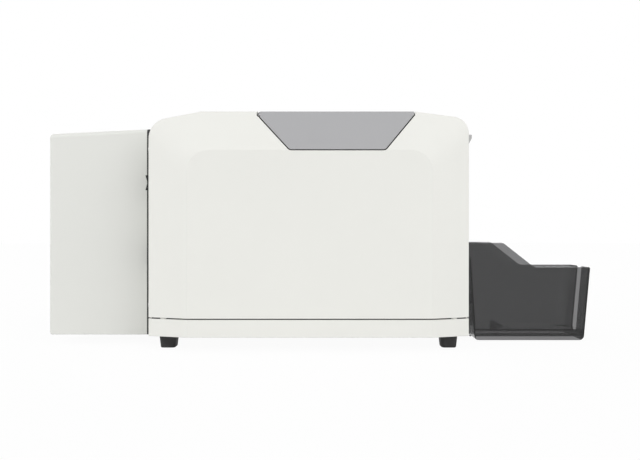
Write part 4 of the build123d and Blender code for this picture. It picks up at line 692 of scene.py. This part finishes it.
def screw_head(radius, height):
    """A pan head with a cross recess, standing on the origin and facing up."""
    head = start_piece(
        "screw", bpy.ops.mesh.primitive_cylinder_add, vertices=28, radius=radius * MM,
        depth=height * MM, location=(0, 0, height / 2 * MM),
    )
    pick(head, "edges", lambda edge: all(v.co.z > 0.9 * height * MM for v in edge.verts))
    bpy.ops.mesh.bevel(offset=0.5 * height * MM, segments=4, affect="EDGES")
    for share_x, share_y in ((CROSS_LENGTH, CROSS_WIDTH), (CROSS_WIDTH, CROSS_LENGTH)):
        arm_x, arm_y = radius * share_x, radius * share_y
        low, high = (-arm_x, -arm_y, CROSS_FLOOR * height), (arm_x, arm_y, 2 * height)
        cut_away(head, start_block("cross", low, high))
    return head


rear_screws = stamp(
    "rear_screws", screw_head(3.6, 1.8),
    [(REAR_X, y, z) for y in (-91.5, 91.5) for z in (52.0, 232.0)], (-1, 0, 0),
)
hand_over(rear_screws, "shaft_steel")
base_screws = stamp(
    "base_screws", screw_head(3.4, 1.6),
    [(x, y, BASE_SCREW_Z) for x in (-183.45, 147.55) for y in (-98.3, 98.3)], (0, 0, -1),
)
hand_over(base_screws, "shaft_steel")
module_screws = stamp(
    "module_screws", screw_head(2.8, 1.4),
    [(x, y, MODULE_SCREW_Z) for x in (-322.0, -226.0) for y in (-48.0, 48.0)], (0, 0, -1),
)
hand_over(module_screws, "shaft_steel")

# %% [markdown]
# ### Control panel
# Behind the display glass lies a grey liquid crystal plate with a row of blank bars, and each key
# carries a raised generic mark: an arrow back, a square and an arrow on. They lie in the plane of
# the front slope, so one helper gives a place along it, across it and above it.

# %% Control panel: marks and plate
PANEL_MIDDLE = Vector((126.55, 0, 271.35))
PANEL_ANGLE = math.radians(7.4)
DISPLAY_Y = -25.0
BAR_PITCH = 4.6
KEY_MARKS = (("key_a", 15.0, 3, 90), ("key_b", 33.0, 4, 45), ("key_c", 51.0, 3, -90))
panel_turn = Matrix.Rotation(PANEL_ANGLE, 4, "Y")


def lay_on_panel(piece, along, across, lift):
    """Moves a flat piece from the origin to its place on the front slope."""
    select_only(piece)
    shift = Matrix.Translation(PANEL_MIDDLE * MM) @ panel_turn
    piece.data.transform(shift @ Matrix.Translation(Vector((along, across, lift)) * MM))


plate = start_block("display_plate", (-7.6, -20.6, -1.0), (7.6, 20.6, 0))
pick(plate, "faces", lambda face: face.normal.z > 0.9)
bpy.ops.mesh.inset(thickness=1.0 * MM)
bpy.ops.transform.translate(value=(0, 0, -0.2 * MM))
lay_on_panel(plate, 0, DISPLAY_Y, -2.7)
hand_over(plate, "cartridge_plastic")
bars = []
for index in range(6):
    bar = start_block("bar", (-3.0, -1.6, 0), (3.0, 1.6, 0.12))
    soften(bar, 0.05, 1)
    lay_on_panel(bar, 1.5, DISPLAY_Y + (index - 2.5) * BAR_PITCH, -2.9)
    bars.append(bar)
hand_over(join("display_bars", *bars), "cassette_plastic")

for body, key_y, corners, turn in KEY_MARKS:
    mark = start_piece(
        "mark_" + body, bpy.ops.mesh.primitive_cylinder_add, vertices=corners, radius=2.3 * MM,
        depth=0.3 * MM, rotation=(0, 0, math.radians(turn)),
    )
    soften(mark, 0.06, 2)
    lay_on_panel(mark, 0, key_y, -0.2)
    hand_over(mark, "light_grey_trim", body)

# %% [markdown]
# ### Blank cards
# The feed stack is 81 loose cards. One card is a thin block with its four upright edges bevelled
# to the usual 3.2 mm corner, and each copy is laid a hair askew, as a dealt stack is.

# %% Blank cards
stack_low, stack_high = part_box("card_stack")
stack_low, stack_high = Vector(stack_low) / MM, Vector(stack_high) / MM
CARD_THICKNESS = 0.765
CARD_CORNER = 3.2
CARD_COUNT = round((stack_high.z - stack_low.z) / CARD_THICKNESS)
card_pitch = (stack_high.z - stack_low.z) / CARD_COUNT
card = start_block(
    "card", (stack_low.x + 0.3, stack_low.y + 0.2, stack_low.z),
    (stack_high.x - 0.3, stack_high.y - 0.2, stack_low.z + card_pitch - 0.03),
)
pick(card, "edges", lambda edge: abs(edge.verts[0].co.z - edge.verts[1].co.z) > 0.5 * MM)
bpy.ops.mesh.bevel(offset=CARD_CORNER * MM, segments=5, affect="EDGES")
pick(card, "edges", lambda edge: abs(edge.verts[0].co.z - edge.verts[1].co.z) < 0.1 * MM)
bpy.ops.mesh.bevel(offset=0.12 * MM, segments=1, affect="EDGES")
bpy.ops.object.mode_set(mode="OBJECT")
askew = []
for n in range(CARD_COUNT):
    askew.append((0.25 * math.sin(2.1 * n), 0.15 * math.sin(3.7 * n + 1), n * card_pitch))
cards = stamp("blank_cards", card, askew)
print("cards", CARD_COUNT)
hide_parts("card_stack")
hand_over(cards, "card_white")

# %% [markdown]
# ### Electronics
# The main board of the frame carries plain blocks. Black cases are fitted over three of them, with
# a row of pins above and below each. A case is given by its middle on the board and by its size.

# %% Electronics: chips
CHIPS = (
    ("processor", -10, 0, 27.0, 27.0),
    ("memory", 35, 25, 17.0, 23.0),
    ("driver", -50, -20, 19.0, 13.0),
)
CHIP_HEIGHT = 3.2
PIN_PITCH = 1.6
TALLEST_PART = 14.0
board_low, board_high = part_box("main_board")
board_x = (board_low[0] + board_high[0]) / 2 / MM
board_z = (board_low[2] + board_high[2]) / 2 / MM
part_y = board_high[1] / MM
skin_y = part_y - TALLEST_PART
cases = []
for name, along, up, width, height in CHIPS:
    middle_x, middle_z = board_x + along, board_z + up
    case = start_block(
        name,
        (middle_x - width / 2, skin_y - 0.2, middle_z - height / 2),
        (middle_x + width / 2, skin_y + CHIP_HEIGHT, middle_z + height / 2),
    )
    pick(case, "faces", lambda face: face.normal.y > 0.9)
    bpy.ops.mesh.inset(thickness=0.8 * MM)
    bpy.ops.transform.translate(value=(0, 0.25 * MM, 0))
    cases.append(case)
    legs = []
    for side in (-1, 1):
        edge_z = middle_z + side * (height / 2 + 0.7)
        low, high = (-0.3, skin_y - 0.1, edge_z - 0.8), (0.3, skin_y + 0.9, edge_z + 0.8)
        leg = start_block("leg", low, high)
        soften(leg, 0.12, 1)
        count = int(width // PIN_PITCH)
        steps = [(middle_x + (n - (count - 1) / 2) * PIN_PITCH, 0, 0) for n in range(count)]
        legs.append(stamp("legs", leg, steps))
    hand_over(join(name + "_legs", *legs), "zinc_steel")
hand_over(join("chip_cases", *cases), "motor_metal")
print("board face at", round(skin_y, 2), "and parts up to", round(part_y, 2))

# %% [markdown]
# The three tall capacitors get an aluminium sleeve each. The end faces are inset, the two rims
# bevelled, and the copies turned so that they stand on the board.

# %% Electronics: capacitors
SLEEVE_RADIUS = 5.15
SLEEVE_LENGTH = 13.6
sleeve = start_piece(
    "sleeve",
    bpy.ops.mesh.primitive_cylinder_add,
    vertices=32,
    radius=SLEEVE_RADIUS * MM,
    depth=SLEEVE_LENGTH * MM,
    location=(0, 0, 7.0 * MM),
)
pick(sleeve, "faces", lambda face: abs(face.normal.z) > 0.9)
bpy.ops.mesh.inset(thickness=0.7 * MM)
pick(
    sleeve,
    "edges",
    lambda edge: all(abs(v.co.xy.length - SLEEVE_RADIUS * MM) < 0.01 * MM for v in edge.verts)
    and abs(edge.verts[0].co.z - edge.verts[1].co.z) < 0.1 * MM,
)
bpy.ops.mesh.bevel(offset=0.4 * MM, segments=3, affect="EDGES")
select_only(sleeve)
row = [(board_x + 45 + step, skin_y + 0.2, board_z - 25) for step in (-14, 0, 14)]
capacitors = stamp("capacitors", sleeve, row, (0, 1, 0))
hand_over(capacitors, "shaft_steel")
print("capacitors", len(row))
